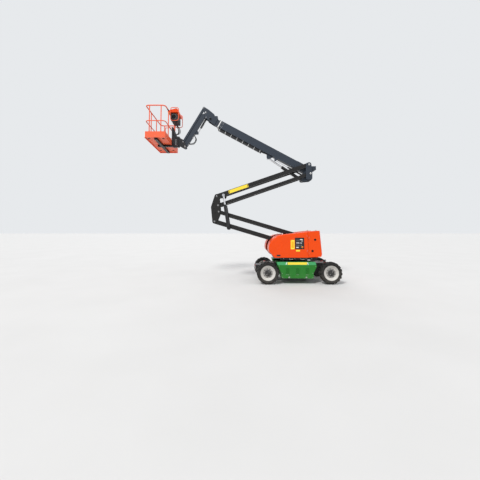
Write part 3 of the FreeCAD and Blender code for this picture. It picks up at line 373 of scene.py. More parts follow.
TYRE_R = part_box("tyre_front_left")[1].z / 2
TYRE_HALF_W = (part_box("tyre_front_left")[1].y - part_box("tyre_front_left")[0].y) / 2
LUG_COUNT = 18
LUG_SHARE = 0.58


def tyre(name, body, node, hub):
    """Carcass with moulded sidewall rings, and two rows of blocks set half a pitch apart."""
    work = Piece(name, body, "tyre_rubber", "tyre")
    half = TYRE_HALF_W
    outer = [(0.237, half - 0.022), (0.247, half - 0.016), (0.252, half - 0.016), (0.262, half - 0.008),
             (0.278, half - 0.001), (0.290, half - 0.0002), (0.292, half - 0.0022), (0.300, half - 0.0032),
             (0.302, half - 0.0012), (0.306, half - 0.0028), (0.316, half - 0.009), (0.322, half - 0.014)]
    profile = [(r, h) for r, h in outer] + [(r, -h) for r, h in reversed(outer)]
    profile = [(0.2355, half - 0.027)] + profile + [(0.2355, -half + 0.027)]
    work.lathe(hub, (0, 1, 0), profile, 96, closed=True)
    pitch = 2 * math.pi / LUG_COUNT
    half_w = pitch * LUG_SHARE / 2 * TYRE_R
    # place across the tread, top radius and share of the width, from the middle out to the shoulder
    stations = ((0.003, 0.3490, 0.94), (0.007, 0.3518, 0.97), (0.060, 0.3518, 1.0), (0.084, 0.3500, 1.0),
                (0.1085, 0.3380, 0.93), (0.1125, 0.3300, 0.90))
    for row in (1, -1):
        for i in range(LUG_COUNT):
            middle = pitch * (i + LUG_SHARE / 2 + (0.0 if row > 0 else 0.5))
            verts, faces = [], []
            for y, top, share in stations:
                for r, narrow in ((0.3180, 1.0), (top - 0.004, share), (top, share - 0.10)):
                    for edge in (-1, 1):
                        a = middle + edge * half_w * narrow / TYRE_R
                        verts.append((hub[0] + r * math.cos(a), hub[1] + row * y, hub[2] + r * math.sin(a)))
            ring = (0, 2, 4, 5, 3, 1)
            for k in range(len(stations) - 1):
                a, b = 6 * k, 6 * (k + 1)
                faces += [(a + ring[j], a + ring[j + 1], b + ring[j + 1], b + ring[j]) for j in range(5)]
            last = 6 * (len(stations) - 1)
            faces += [ring, tuple(last + j for j in reversed(ring))]
            work.add(verts, faces)
    made = work.done(smooth=30)
    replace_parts(made, node)


def wheel(name, body, node, hub, side):
    """Dished rim, its grey disc with studs, and the planetary hub with its bolted cap."""
    axis = (0, side, 0)
    hub = Vector(hub)
    rim = Piece(name + "_rim", body, "rim_paint", "rim_white")
    outer = [(0.2235, 0.083), (0.2255, 0.0915), (0.2290, 0.0930), (0.2340, 0.0925), (0.2350, 0.0900), (0.2350, -0.0900),
             (0.2340, -0.0925), (0.2290, -0.0930), (0.2255, -0.0915), (0.2130, -0.0880), (0.1760, 0.0120),
             (0.1500, 0.0120), (0.1500, 0.0330), (0.1705, 0.0340), (0.1780, 0.0440), (0.1960, 0.0570), (0.2010, 0.0600),
             (0.2050, 0.0600), (0.2180, 0.0740)]
    rim.lathe(hub, axis, outer, 96, closed=True)
    rim.bar(hub + Vector((0.200, side * 0.058, 0.0)), hub + Vector((0.209, side * 0.090, 0)), 0.005, 10)
    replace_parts(rim.done(smooth=30), node)
    disc = Piece(name + "_disc", body, "rim_grey", "rim_white")
    disc.lathe(hub, axis, [(0.1505, 0.0125), (0.1505, 0.0335), (0.1480, 0.0350), (0.1120, 0.0350), (0.1080, 0.0385),
                           (0.0960, 0.0385), (0.0900, 0.0125)], 72, closed=True)
    disc.lathe(hub, axis, [(0.0895, -0.069), (0.0900, -0.067), (0.0900, 0.020)], 48)
    for i in range(18):
        a = math.radians(20 * i)
        disc.lathe(hub + Vector((0.1610 * math.cos(a), side * 0.0335, 0.1610 * math.sin(a))), axis,
                   [(0.0045, 0), (0.0045, 0.0016), (0.003, 0.0024)], 8)
    disc.done(smooth=30)
    nuts = Piece(name + "_nuts", body, "zinc", "rim_white")
    for i in range(9):
        a = math.radians(40 * i)
        nuts.nut(hub + Vector((0.1300 * math.cos(a), side * 0.0350, 0.1300 * math.sin(a))), axis, 0.0135, 0.013)
    nuts.done()
    cap = Piece(name + "_cap", body, "black_paint", "frame_dark")
    cap.lathe(hub, axis, [(0.0950, 0.036), (0.0950, 0.0660), (0.0925, 0.0690), (0.0860, 0.0705), (0.0840, 0.0770),
                          (0.0730, 0.0815), (0.0300, 0.0820), (0.0280, 0.0785), (0.0100, 0.0785)], 64)
    for i in range(12):
        a = math.radians(30 * i + 15)
        cap.lathe(hub + Vector((0.0890 * math.cos(a), side * 0.0690, 0.0890 * math.sin(a))), axis,
                  [(0.005, 0), (0.005, 0.005), (0.004, 0.006)], 6)
    cap.done(smooth=28)
    plugs = Piece(name + "_plugs", body, "zinc", "frame_dark")
    for a in (50, 230):
        at = hub + Vector((0.055 * math.cos(math.radians(a)), side * 0.0810, 0.055 * math.sin(math.radians(a))))
        plugs.lathe(at, axis, [(0.010, 0), (0.010, 0.003), (0.0075, 0.0045), (0.0045, 0.0045), (0.0040, 0.002)], 12)
    plugs.done()


def make_wheels():
    for end in ("front", "rear"):
        for name, side in SIDES:
            node = f"tyre_{end}_{name}"
            low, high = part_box(node)
            hub = (low + high) / 2
            tyre(f"{end}_{name}_tyre", f"{end}_{name}_wheel", node, hub)
            wheel(f"{end}_{name}_wheel", f"{end}_{name}_wheel", f"wheel_{end}_{name}", hub, side)


# Chassis


def make_axle_trim():
    """King pins with their caps, motor flanges, steering rods and ball joints."""
    front, rear = pin("steer"), pin("rear_left_wheel_turn")
    flange = [(0.092, 0.0), (0.110, 0.0), (0.112, 0.002), (0.112, 0.014), (0.110, 0.016), (0.092, 0.016)]
    for name, side in SIDES:
        for body, centre, inner_y in ((f"steer_knuckle_{name}", front, 0.6405), ("chassis", rear, 0.4905)):
            at = Vector((centre.x, side * inner_y, centre.z))
            ring = Piece(f"{body}_{name}_motor_flange", body, "black_paint", "frame_dark")
            ring.lathe(at, (0, side, 0), flange, 56, closed=True)
            ring.done()
            bolts = Piece(f"{body}_{name}_motor_bolts", body, "zinc", "frame_dark")
            for i in range(10):
                a = math.radians(36 * i + 18)
                bolts.nut(at + Vector((0.101 * math.cos(a), side * 0.016, 0.101 * math.sin(a))), (0, side, 0), 0.0065)
            bolts.done()
        cap = Piece(f"king_pin_{name}", "chassis", "pin_steel", "frame_dark")
        for up in (1, -1):
            top = Vector((front.x, side * 0.600, front.z + up * 0.130))
            cap.lathe(top, (0, 0, up), [(0.040, 0), (0.040, 0.006), (0.036, 0.008)], 28)
            for i in range(3):
                a = math.radians(120 * i + 30)
                cap.nut(top + Vector((0.026 * math.cos(a), 0.026 * math.sin(a), up * 0.008)), (0, 0, up), 0.006)
        cap.done()
    rod_x, rod_z = front.x - 0.170, front.z + 0.012
    ends = Piece("tie_rod_joints", "tie_rod", "zinc", "frame_dark")
    glands = Piece("steering_glands", "chassis", "zinc", "frame_dark")
    for side in (1, -1):
        ends.lathe((rod_x, side * 0.565, front.z + 0.032), (0, 0, 1),
                   [(0.020, 0), (0.020, 0.004), (0.013, 0.009), (0.006, 0.010)], 20)
        ends.bar((rod_x, side * 0.520, rod_z), (rod_x, side * 0.495, rod_z), 0.021, 6)
        glands.lathe((rod_x, side * 0.210, rod_z), (0, side, 0),
                     [(0.018, 0), (0.034, 0), (0.034, 0.010), (0.028, 0.014), (0.018, 0.014)], 24, closed=True)
        glands.bar((rod_x - 0.02, side * 0.17, rod_z + 0.030), (rod_x - 0.02, side * 0.17, rod_z + 0.052), 0.010, 6)
        glands.tube([(rod_x - 0.02, side * 0.17, rod_z + 0.050), (rod_x - 0.02, side * 0.17, rod_z + 0.075),
                     (rod_x - 0.06, side * 0.15, rod_z + 0.095), (rod_x - 0.075, side * 0.10, rod_z + 0.070),
                     (rod_x - 0.055, side * 0.06, rod_z + 0.020), (rod_x - 0.036, side * 0.05, rod_z)], 0.007)
    ends.done()
    glands.done()


COVER_BAND_Z = 0.600
LOUVRE_X = ((-0.423, -0.311), (-0.100, 0.0), (0.206, 0.312))
LOUVRE_Z, LOUVRE_PITCH, LOUVRE_SLOTS, LOUVRE_SLOT_H = 0.289, 0.0325, 7, 0.013


def make_cover_trim():
    """Pressed hoods over the slots, latches, the paler sloped band and a blank plate on each side cover."""
    for name, side in SIDES:
        low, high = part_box(f"side_cover_{name}")
        face = high.y if side > 0 else -low.y
        band_at = Matrix.Translation((0, side * face, COVER_BAND_Z))
        band = Piece(f"cover_band_{name}", "chassis", "green_band", "chassis_green", place=band_at)
        band.slab([(-0.6870, 0.001), (-0.7225, 0.0985), (0.5145, 0.0985), (0.5435, 0.001)], 0.0, side * 0.0015)
        band.tube([(-0.685, side * 0.001, 0.003), (-0.08, side * 0.001, 0.003), (0.541, side * 0.001, 0.003)], 0.003, 8)
        band.done()
        label = Piece(f"cover_plate_{name}", "chassis", "yellow_vinyl", "chassis_green", place=band_at)
        label.plate(side, (-0.368, 0.001, 0.012), (0.246, 0.003, 0.088))
        label.done(bevel=0.001)
        marks = Piece(f"cover_wedges_{name}", "chassis", "pale_vinyl", "chassis_green", place=band_at)
        for x, lean in ((-0.412, 1), (0.290, -1)):
            marks.slab([(x - 0.020, 0.014), (x + 0.006, 0.014), (x + 0.020 * lean + 0.006, 0.086),
                        (x + 0.020 * lean - 0.020, 0.086)], side * 0.001, side * 0.003)
        marks.done()
        awnings = Piece(f"cover_louvres_{name}", "chassis", "green_paint", "chassis_green")
        for x0, x1 in LOUVRE_X:
            for i in range(LOUVRE_SLOTS):
                z = LOUVRE_Z + LOUVRE_PITCH * i + LOUVRE_SLOT_H
                profile = ((-0.001, 0.007), (0.003, 0.005), (0.0065, 0.000), (0.0070, -0.004), (0.0058, -0.004),
                           (0.0052, -0.001), (0.003, 0.001), (-0.001, 0.001))
                n = len(profile)
                verts = [(x, side * (face + y), z + dz) for x in (x0, x1) for y, dz in profile]
                faces = [tuple(range(n)), tuple(range(2 * n - 1, n - 1, -1))]
                faces += [(k, (k + 1) % n, n + (k + 1) % n, n + k) for k in range(n)]
                awnings.add(verts, faces)
        awnings.done(smooth=50)
        latches = Piece(f"cover_latches_{name}", "chassis", "zinc", "chassis_green")
        for x in (-0.321, 0.225):
            latches.plate(side, (x - 0.022, face - 0.001, 0.196), (x + 0.022, face + 0.004, 0.232))
            latches.lathe((x, side * (face + 0.004), 0.216), (0, side, 0),
                          [(0.014, 0), (0.014, 0.004), (0.011, 0.006)], 20)
            latches.plate(side, (x - 0.002, face + 0.009, 0.206), (x + 0.002, face + 0.012, 0.226))
        latches.done(bevel=0.001)
        screws = Piece(f"cover_screws_{name}", "chassis", "zinc", "chassis_green")
        for x, z in ((-0.640, 0.570), (-0.545, 0.340), (-0.535, 0.215), (0.430, 0.205), (0.430, 0.340), (0.525, 0.565)):
            screws.lathe((x, side * face, z), (0, side, 0), [(0.010, 0), (0.010, 0.001), (0.007, 0.005), (0.003, 0.0055)], 16)
        screws.done()


def make_chassis_trim():
    """Slewing ring bolts, tie-down rings, hoses, the sensor and the reflectors of the chassis."""
    low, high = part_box("chassis_frame")
    ring = Piece("slew_bolts", "chassis", "zinc", "frame_dark")
    for i in range(36):
        a = math.radians(10 * i + 5)
        at = Vector((0.345 * math.cos(a), 0.345 * math.sin(a), high.z))
        if abs(at.y) < 0.300:
            ring.nut(at, (0, 0, 1), 0.010)
    ring.done()
    seal = Piece("slew_seal", "chassis", "hose_rubber", "frame_dark")
    seal.lathe((0, 0, high.z + 0.055), (0, 0, 1), [(0.328, 0), (0.334, 0.003), (0.334, 0.009), (0.328, 0.012)], 72,
               closed=True)
    seal.done()
    rings = Piece("tie_down_rings", "chassis", "zinc", "frame_dark")
    for end_x, out in ((high.x, 1), (low.x, -1)):
        for side in (1, -1):
            y = side * 0.190
            x0, x1 = sorted((end_x - out * 0.001, end_x + out * 0.007))
            rings.block((x0, y - 0.035, 0.390), (x1, y + 0.035, 0.470))
            rings.tube([(end_x + out * 0.004, y - 0.020, 0.435), (end_x + out * 0.009, y - 0.022, 0.430),
                        (end_x + out * 0.009, y - 0.012, 0.398), (end_x + out * 0.009, y + 0.012, 0.398),
                        (end_x + out * 0.009, y + 0.022, 0.430), (end_x + out * 0.004, y + 0.020, 0.435)], 0.005)
    rings.done(bevel=0.001)
    red = Piece("rear_reflectors", "chassis", "red_plastic", "frame_dark")
    for side in (1, -1):
        red.block((low.x - 0.006, side * 0.10 - 0.035, 0.490), (low.x + 0.001, side * 0.10 + 0.035, 0.520))
    red.done(bevel=0.0015)
    # Grey plates on the tops of the chassis ends: their pale grey is a painted highlight of the lit top edges.
    deck = Piece("chassis_end_highlight_plates", "chassis", "deck_grey", "frame_dark")
    for x0, x1 in ((low.x + 0.290, -0.730), (0.560, high.x - 0.290)):
        deck.block((x0, -0.318, high.z - 0.0005), (x1, 0.318, high.z + 0.004))
    deck.done(bevel=0.001)
    bolts = Piece("chassis_end_bolts", "chassis", "zinc", "frame_dark")
    for x in (low.x + 0.320, -0.770, 0.600, high.x - 0.320):
        for y in (-0.28, 0.28):
            bolts.nut((x, y, high.z + 0.004), (0, 0, 1), 0.008)
    bolts.done()
    hoses = Piece("axle_hoses", "chassis", "hose_rubber", "frame_dark")
    for x, turn in ((low.x + 0.330, 1), (high.x - 0.330, -1)):
        for side in (1, -1):
            for k in (0, 1):
                step = 0.045 * k
                hoses.tube([(x + turn * step, side * 0.21, high.z), (x + turn * step, side * 0.21, high.z + 0.075),
                            (x + turn * (0.03 + step), side * 0.235, high.z + 0.105),
                            (x + turn * (0.06 + step), side * 0.275, high.z + 0.090),
                            (x + turn * (0.06 + step), side * 0.318, high.z + 0.020),
                            (x + turn * (0.03 + step), side * 0.334, high.z - 0.110),
                            (x + turn * (0.02 + step), side * 0.320, high.z - 0.130)], 0.011, 16)
    hoses.done()
    fittings = Piece("axle_hose_fittings", "chassis", "red_plastic", "frame_dark")
    for x, turn in ((low.x + 0.330, 1), (high.x - 0.330, -1)):
        for side in (1, -1):
            for k in (0, 1):
                at = (x + turn * 0.045 * k, side * 0.21, high.z + 0.003)
                fittings.lathe(at, (0, 0, 1), [(0.016, 0), (0.016, 0.020), (0.013, 0.024)], 6)
    fittings.done()
    ball = Piece("axle_level_sensor", "chassis", "white_plastic", "frame_dark")
    for side in (1, -1):
        ball.lathe((-0.620, side * 0.318, 0.300), (0, side, 0),
                   [(0.030, 0), (0.030, 0.020), (0.026, 0.030), (0.016, 0.040), (0.006, 0.043)], 28)
    ball.done(smooth=60)


# Turret


def make_turret_trim():
    low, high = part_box("turret_deck")
    deck_bolts = Piece("deck_bolts", "turret", "zinc", "frame_dark")
    for x in (-0.48, -0.30, -0.12, 0.06, 0.24, 0.42):
        for side in (1, -1):
            deck_bolts.nut((x, side * high.y, high.z - 0.035), (0, side, 0), 0.008)
    deck_bolts.done()
    eyes = Piece("deck_lashing_eyes", "turret", "zinc", "frame_dark")
    for x in (-0.242, 0.128):
        for side in (1, -1):
            y = side * (high.y + 0.004)
            eyes.tube([(x - 0.040, y, high.z - 0.056), (x - 0.040, y + side * 0.030, high.z - 0.060),
                       (x + 0.040, y + side * 0.030, high.z - 0.060), (x + 0.040, y, high.z - 0.056)], 0.006)
            eyes.block((x - 0.055, min(y, y - side * 0.004), high.z - 0.068),
                       (x + 0.055, max(y, y - side * 0.004), high.z - 0.044))
    eyes.done(bevel=0.0)
    caps = Piece("turret_pin_caps", "turret", "pin_steel", "pin_steel")
    outer = 0.286
    for at in (pin("riser_lift"), pin("lower_link_turn")):
        for side in (1, -1):
            pin_cap(caps, (at.x, side * outer, at.z), side, 0.040, tilt=0.8)
    caps.done(bevel=0.001)
    strips = Piece("frame_edge_strips", "turret", "black_plastic", "frame_dark")
    for side in (1, -1):
        y0, y1 = sorted((side * 0.266, side * 0.290))
        strips.slab([(-0.740, 1.118), (0.080, 1.2135), (0.0795, 1.2205), (-0.742, 1.125), (-0.744, 0.834), (-0.738, 0.834)],
                    y0, y1)
    strips.done(bevel=0.001)
    channel = Piece("riser_channel_floor", "turret", "deck_grey", "frame_dark")
    channel.block((-0.735, -0.268, high.z - 0.0005), (0.335, 0.268, high.z + 0.004))
    channel.done()


def pin_cap(piece, at, side, r, keeper=True, tilt=0.0, place=None):
    """The end of a pin, with a keeper bar across it held by two bolts."""
    axis = (0, side, 0)
    piece.lathe(at, axis, [(r, -0.001), (r, 0.003), (r * 0.90, 0.005), (r * 0.20, 0.005), (r * 0.14, 0.002)], 28, place=place)
    if keeper:
        at = Vector(at)
        c, s = math.cos(tilt), math.sin(tilt)
        reach, half = r * 1.38, r * 0.24
        corners = [at + Vector((u * c - v * s, 0, u * s + v * c)) for u, v in
                   ((-reach, -half), (reach, -half), (reach, half), (-reach, half))]
        y0, y1 = sorted((at.y + side * 0.0045, at.y + side * 0.0075))
        piece.slab([(p.x, p.z) for p in corners], y0, y1, place=place)
        for d in (-1, 1):
            bolt = at + Vector((c * d * r * 1.15, 0, s * d * r * 1.15))
            piece.lathe(bolt, axis, [(r * 0.19, -0.001), (r * 0.19, 0.0085), (r * 0.15, 0.0095)], 6, place=place)


HOOD_FACE = 0.830


def make_hood_trim():
    """Flush latches, blank stickers, pressed lines, edge seals and lifting handles of the two hoods."""
    face = HOOD_FACE
    for name, side in SIDES:
        body = f"hood_{name}"
        latch = Piece(f"{body}_latches", body, "black_plastic", "black_plastic")
        latch.plate(side, (-0.720, face - 0.001, 0.880), (-0.600, face + 0.003, 0.930))
        latch.plate(side, (-0.706, face + 0.002, 0.889), (-0.640, face + 0.009, 0.921))
        latch.lathe((-0.620, side * (face + 0.003), 0.905), (0, side, 0), [(0.009, 0), (0.009, 0.003), (0.007, 0.004)], 18)
        latch.done(bevel=0.0018)
        press = Piece(f"{body}_pressed_lines", body, "orange_paint", "hood_orange")
        y = side * (face - 0.0012)
        press.tube([(-0.690, y, 1.095), (-0.660, y, 1.200), (-0.600, y, 1.330), (-0.480, y, 1.350), (-0.300, y, 1.345),
                    (-0.180, y, 1.440), (-0.060, y, 1.530)], 0.0042, 12)
        press.tube([(-0.560, y, 1.070), (-0.555, y, 1.180), (-0.525, y, 1.290), (-0.480, y, 1.350)], 0.0036, 12)
        press.done(smooth=60)
        handle = Piece(f"{body}_handle", body, "pale_vinyl", "hood_orange")
        handle.tube([(-0.500, side * 0.560, 1.560), (-0.500, side * 0.560, 1.596), (-0.500, side * 0.590, 1.604),
                     (-0.500, side * 0.640, 1.604), (-0.500, side * 0.670, 1.596), (-0.500, side * 0.670, 1.560)], 0.010)
        handle.done()
        hinge = Piece(f"{body}_hinge_bolts", body, "zinc", "hood_orange")
        for z in (1.010, 1.500):
            for dz in (0.018, 0.052):
                for dx in (0.022, 0.046):
                    hinge.nut((0.289 - dx, side * (face + 0.004), z + dz), (0, side, 0), 0.0045)
        hinge.done()
        seal = Piece(f"{body}_seal", body, "hose_rubber", "black_plastic")
        seal.plate(side, (-0.770, face - 0.021, 0.834), (0.284, face - 0.003, 0.840))
        seal.done()
    y = -face
    stickers = Piece("hood_stickers", "hood_right", "yellow_vinyl", "hood_orange")
    stickers.block((-0.270, y - 0.0012, 1.103), (-0.146, y + 0.001, 1.398))
    stickers.block((-0.104, y - 0.0012, 1.030), (0.023, y + 0.001, 1.085))
    stickers.done()
    darker = Piece("hood_sticker_field", "hood_right", "amber_vinyl", "hood_orange")
    darker.block((-0.245, y - 0.0022, 1.150), (-0.172, y + 0.001, 1.350))
    darker.block((-0.096, y - 0.0022, 1.038), (0.015, y + 0.001, 1.050))
    darker.done()
    rim = Piece("control_window_edge", "hood_right", "black_plastic", "black_plastic")
    x0, x1, z0, z1, t = -0.134, 0.162, 1.105, 1.471, 0.010
    for low, high in (((x0, z0), (x1, z0 + t)), ((x0, z1 - t), (x1, z1)), ((x0, z0), (x0 + t, z1)), ((x1 - t, z0), (x1, z1))):
        rim.block((low[0], y - 0.003, low[1]), (high[0], y + 0.020, high[1]))
    rim.done(bevel=0.002)


def make_weight_trim():
    """Lifting eyes, the two deep holes a side, hinge bolts and rear fixing bolts."""
    low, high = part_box("counterweight")
    # The counterweight's holes are flat near-black discs inside raised rims: painted shade standing for their depth.
    holes = Piece("weight_holes", "turret", "hole_dark", "weight_orange")
    rims = Piece("weight_hole_rims", "turret", "orange_cast", "weight_orange")
    for side in (1, -1):
        for x, z in ((0.510, 1.406), (0.422, 1.048)):
            at = (x, side * 0.830, z)
            holes.lathe(at, (0, side, 0), [(0.037, -0.001), (0.037, 0.0006)], 32)
            rims.lathe(at, (0, side, 0), [(0.037, -0.001), (0.0385, 0.0020), (0.047, 0.0016), (0.050, -0.001)], 40,
                       closed=True)
    holes.done()
    rims.done(smooth=50)
    eyes = Piece("weight_lifting_eyes", "turret", "zinc", "weight_orange")
    for side in (1, -1):
        eyes.tube([(0.585, side * 0.560, high.z - 0.014), (0.585, side * 0.560, high.z + 0.014),
                   (0.606, side * 0.560, high.z + 0.026), (0.627, side * 0.560, high.z + 0.014),
                   (0.627, side * 0.560, high.z - 0.014)], 0.009)
    eyes.done()
    bolts = Piece("weight_bolts", "turret", "zinc", "weight_orange")
    slope = (0.740 - 0.678) / 0.720
    for side in (1, -1):
        for y in (0.40, 0.70):
            for z in (1.05, 1.35):
                bolts.nut((0.740 - (z - 0.960) * slope, side * y, z), (1, 0, slope), 0.017)
        for z in (1.010, 1.500):
            for dz in (0.020, 0.060):
                for dx in (0.022, 0.046):
                    bolts.nut((0.289 + dx, side * (HOOD_FACE + 0.004), z - dz), (0, side, 0), 0.0045)
    bolts.done()


def make_ground_controls():
    """Switches, gauges, a display and the stop button on the lower control panel."""
    low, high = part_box("ground_controls")
    y, x0, x1, z0, z1 = low.y, -0.122, 0.150, 1.117, 1.459
    face = Piece("control_face", "turret", "panel_dark", "black_plastic")
    face.block((x0 + 0.010, y - 0.004, z0 + 0.010), (x1 - 0.010, y + 0.002, z1 - 0.010))
    face.done(bevel=0.003)
    glass = Piece("control_display", "turret", "lens_glass", "black_plastic")
    glass.block((x0 + 0.036, y - 0.009, z1 - 0.110), (x0 + 0.130, y - 0.003, z1 - 0.046))
    glass.done(bevel=0.002)
    plates = Piece("control_blank_plates", "turret", "pale_vinyl", "black_plastic")
    for x, z, w, h in ((x0 + 0.030, z0 + 0.180, 0.095, 0.018), (x0 + 0.150, z1 - 0.062, 0.085, 0.026),
                       (x0 + 0.030, z0 + 0.030, 0.075, 0.030), (x0 + 0.150, z0 + 0.180, 0.060, 0.014)):
        plates.block((x, y - 0.0052, z), (x + w, y - 0.003, z + h))
    plates.done()
    bezel = Piece("control_bezels", "turret", "zinc", "black_plastic")
    levers = Piece("control_levers", "turret", "grey_plastic", "black_plastic")
    for column in range(4):
        for row in range(2):
            x = x0 + 0.048 + 0.050 * column
            z = z0 + 0.098 + 0.062 * row
            bezel.lathe((x, y - 0.004, z), (0, -1, 0), [(0.012, 0), (0.012, 0.004), (0.009, 0.007)], 20)
            tip = z + (0.009 if (row + column) % 2 else -0.009)
            levers.bar((x, y - 0.009, z), (x, y - 0.034, tip), 0.0038, 10, 0.001)
    dial = (x1 - 0.054, y - 0.004, z1 - 0.100)
    bezel.lathe(dial, (0, -1, 0), [(0.022, 0), (0.022, 0.007), (0.018, 0.010)], 28)
    bezel.done(smooth=40)
    levers.lathe((dial[0], dial[1] - 0.009, dial[2]), (0, -1, 0), [(0.012, 0), (0.012, 0.014), (0.010, 0.016)], 8)
    levers.done(smooth=40)
    at = (x1 - 0.046, y - 0.004, z0 + 0.050)
    stop = Piece("control_stop_button", "turret", "red_plastic", "black_plastic")
    stop.lathe(at, (0, -1, 0), [(0.012, 0), (0.012, 0.014), (0.021, 0.016), (0.022, 0.024), (0.017, 0.029),
                                (0.006, 0.031)], 32)
    stop.done(smooth=40)
    collar = Piece("control_stop_collar", "turret", "yellow_vinyl", "black_plastic")
    collar.lathe(at, (0, -1, 0), [(0.030, 0), (0.030, 0.003), (0.013, 0.003)], 36)
    collar.done()


# Riser, booms and jib


A_TURRET, A_MID = pin("riser_lift"), pin("mid_link_level")
B_TURRET = pin("lower_link_turn")
C_MID, C_TOP = pin("upper_arm_lift"), pin("top_knuckle_level")
D_MID = pin("upper_link_turn")
BOOM_PIN, NOSE_PIN = pin("boom_lift"), pin("nose_level")
JIB_PIN, JIB_END = pin("jib_lift"), pin("jib_end_level")
JIB_LINK_PIN = pin("jib_link_turn")
LOWER = angle_between(A_TURRET, A_MID)
UPPER = angle_between(C_MID, C_TOP)
BOOM = angle_between(BOOM_PIN, NOSE_PIN)
JIB = angle_between(JIB_PIN, JIB_END)
D_TOP = D_MID + (C_TOP - C_MID)
B_MID = B_TURRET + (A_MID - A_TURRET)
BOOM_LENGTH = (NOSE_PIN - BOOM_PIN).length - 0.338
ARM_Y = 0.205
DRAIN_HOLES = ((-4.90, 0.68), (-4.42, 0.68))
UPPER_HOSE_X = (0.95, 2.20)
ROTATOR_Z = (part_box("basket_floor")[1].z - 0.060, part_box("basket_floor")[1].z + 0.240)
PLATE_Y = 0.225


def make_riser_trim():
    """Pin ends, weld collars, hose runs and the blank plate of the riser."""
    lower, upper = along(A_TURRET, LOWER), along(C_MID, UPPER)
    reaches = (A_MID - A_TURRET).length, (C_TOP - C_MID).length
    for body, place, depth, reach, outer_y in (("lower_arm", lower, 0.150, reaches[0], 0.205),
                                               ("upper_arm", upper, 0.140, reaches[1], 0.205),
                                               ("lower_link", along(B_TURRET, LOWER), 0.115, reaches[0], 0.205),
                                               ("upper_link", along(D_MID, UPPER), 0.112, reaches[1], 0.199)):
        collars = Piece(f"{body}_weld_collars", body, "riser_paint", "boom_grey", place=place)
        beads = Piece(f"{body}_weld_beads", body, "riser_paint", "boom_grey", place=place)
        for side in (1, -1):
            for x in (0.120, reach - 0.120):
                collars.plate(side, (x - 0.022, 0.1345, -depth / 2 - 0.0025), (x + 0.022, outer_y + 0.0015, depth / 2 + 0.0025))
            for z in (-depth / 2 + 0.003, depth / 2 - 0.003):
                beads.tube([(0.160, side * (outer_y - 0.0018), z), (reach / 2, side * (outer_y - 0.0018), z),
                            (reach - 0.160, side * (outer_y - 0.0018), z)], 0.0030, 8)
        collars.done(bevel=0.002)
        beads.done()
    label = Piece("arm_plate", "upper_arm", "yellow_vinyl", "boom_grey", place=upper)
    ends = Piece("arm_plate_ends", "upper_arm", "black_plastic", "boom_grey", place=upper)
    for side in (1, -1):
        label.plate(side, (0.43, ARM_Y, -0.054), (1.15, ARM_Y + 0.0012, 0.054))
        for x in (0.445, 1.115):
            ends.plate(side, (x, ARM_Y + 0.001, -0.046), (x + 0.020, ARM_Y + 0.0018, 0.046))
    label.done()
    ends.done()
    caps = Piece("mid_link_pin_caps", "mid_link", "pin_steel", "boom_grey")
    for at in (A_MID, B_MID, C_MID, D_MID):
        for side in (1, -1):
            caps.lathe((at.x, side * 0.226, at.z), (0, side, 0),
                       [(0.028, -0.001), (0.028, 0.0015), (0.026, 0.0025), (0.006, 0.0025), (0.005, 0.001)], 28)
    caps.done()
    # Holes in the mid link's side plates, drawn as flat near-black discs: painted shade of their insides.
    holes = Piece("mid_link_holes", "mid_link", "hole_dark", "boom_grey")
    for x, z in ((-2.778, 2.445), (-2.785, 2.611), (-2.740, 2.300)):
        for side in (1, -1):
            holes.lathe((x, side * PLATE_Y, z), (0, side, 0), [(0.020, -0.001), (0.020, 0.0005)], 24)
    holes.done()
    top = Piece("knuckle_pin_caps", "top_knuckle", "zinc", "boom_grey")
    for at in (C_TOP, D_TOP):
        for side in (1, -1):
            pin_cap(top, (at.x, side * 0.226, at.z), side, 0.034, tilt=1.2)
    top.done()
    run = Piece("riser_hoses", "lower_link", "hose_rubber", "black_plastic", place=along(B_TURRET, LOWER))
    clips = Piece("riser_hose_clips", "lower_link", "zinc", "black_plastic", place=along(B_TURRET, LOWER))
    hose_run(run, clips, 0.30, reaches[0] - 0.30, 0.150, 0.0575)
    over = Piece("upper_hoses", "upper_link", "hose_rubber", "black_plastic", place=along(D_MID, UPPER))
    over_clips = Piece("upper_hose_clips", "upper_link", "zinc", "black_plastic", place=along(D_MID, UPPER))
    hose_run(over, over_clips, UPPER_HOSE_X[0], UPPER_HOSE_X[1], 0.150, 0.056)
    for piece in (run, clips, over, over_clips):
        piece.done()


def hose_run(hoses, clips, x0, x1, y, z):
    """Three hoses side by side on the top of an arm's far tube, held by clips."""
    r = 0.0085
    steps = 6
    for k in range(3):
        across = y + 0.010 + 0.019 * k
        points = []
        for i in range(2 * steps + 1):
            sag = 0.0025 if i % 2 else 0.0
            points.append((x0 + (x1 - x0) * i / (2 * steps), across, z + r - 0.0005 - sag * 0.2))
        hoses.tube([(x0 - 0.01, across, z - 0.012)] + points + [(x1 + 0.01, across, z - 0.012)], r, 12)
    for i in range(steps + 1):
        x = x0 + 0.03 + (x1 - x0 - 0.08) * i / steps
        clips.block((x, y - 0.003, z - 0.001), (x + 0.020, y + 0.000, z + 2 * r + 0.002))
        clips.block((x, y - 0.003, z + 2 * r), (x + 0.020, y + 0.056, z + 2 * r + 0.002))


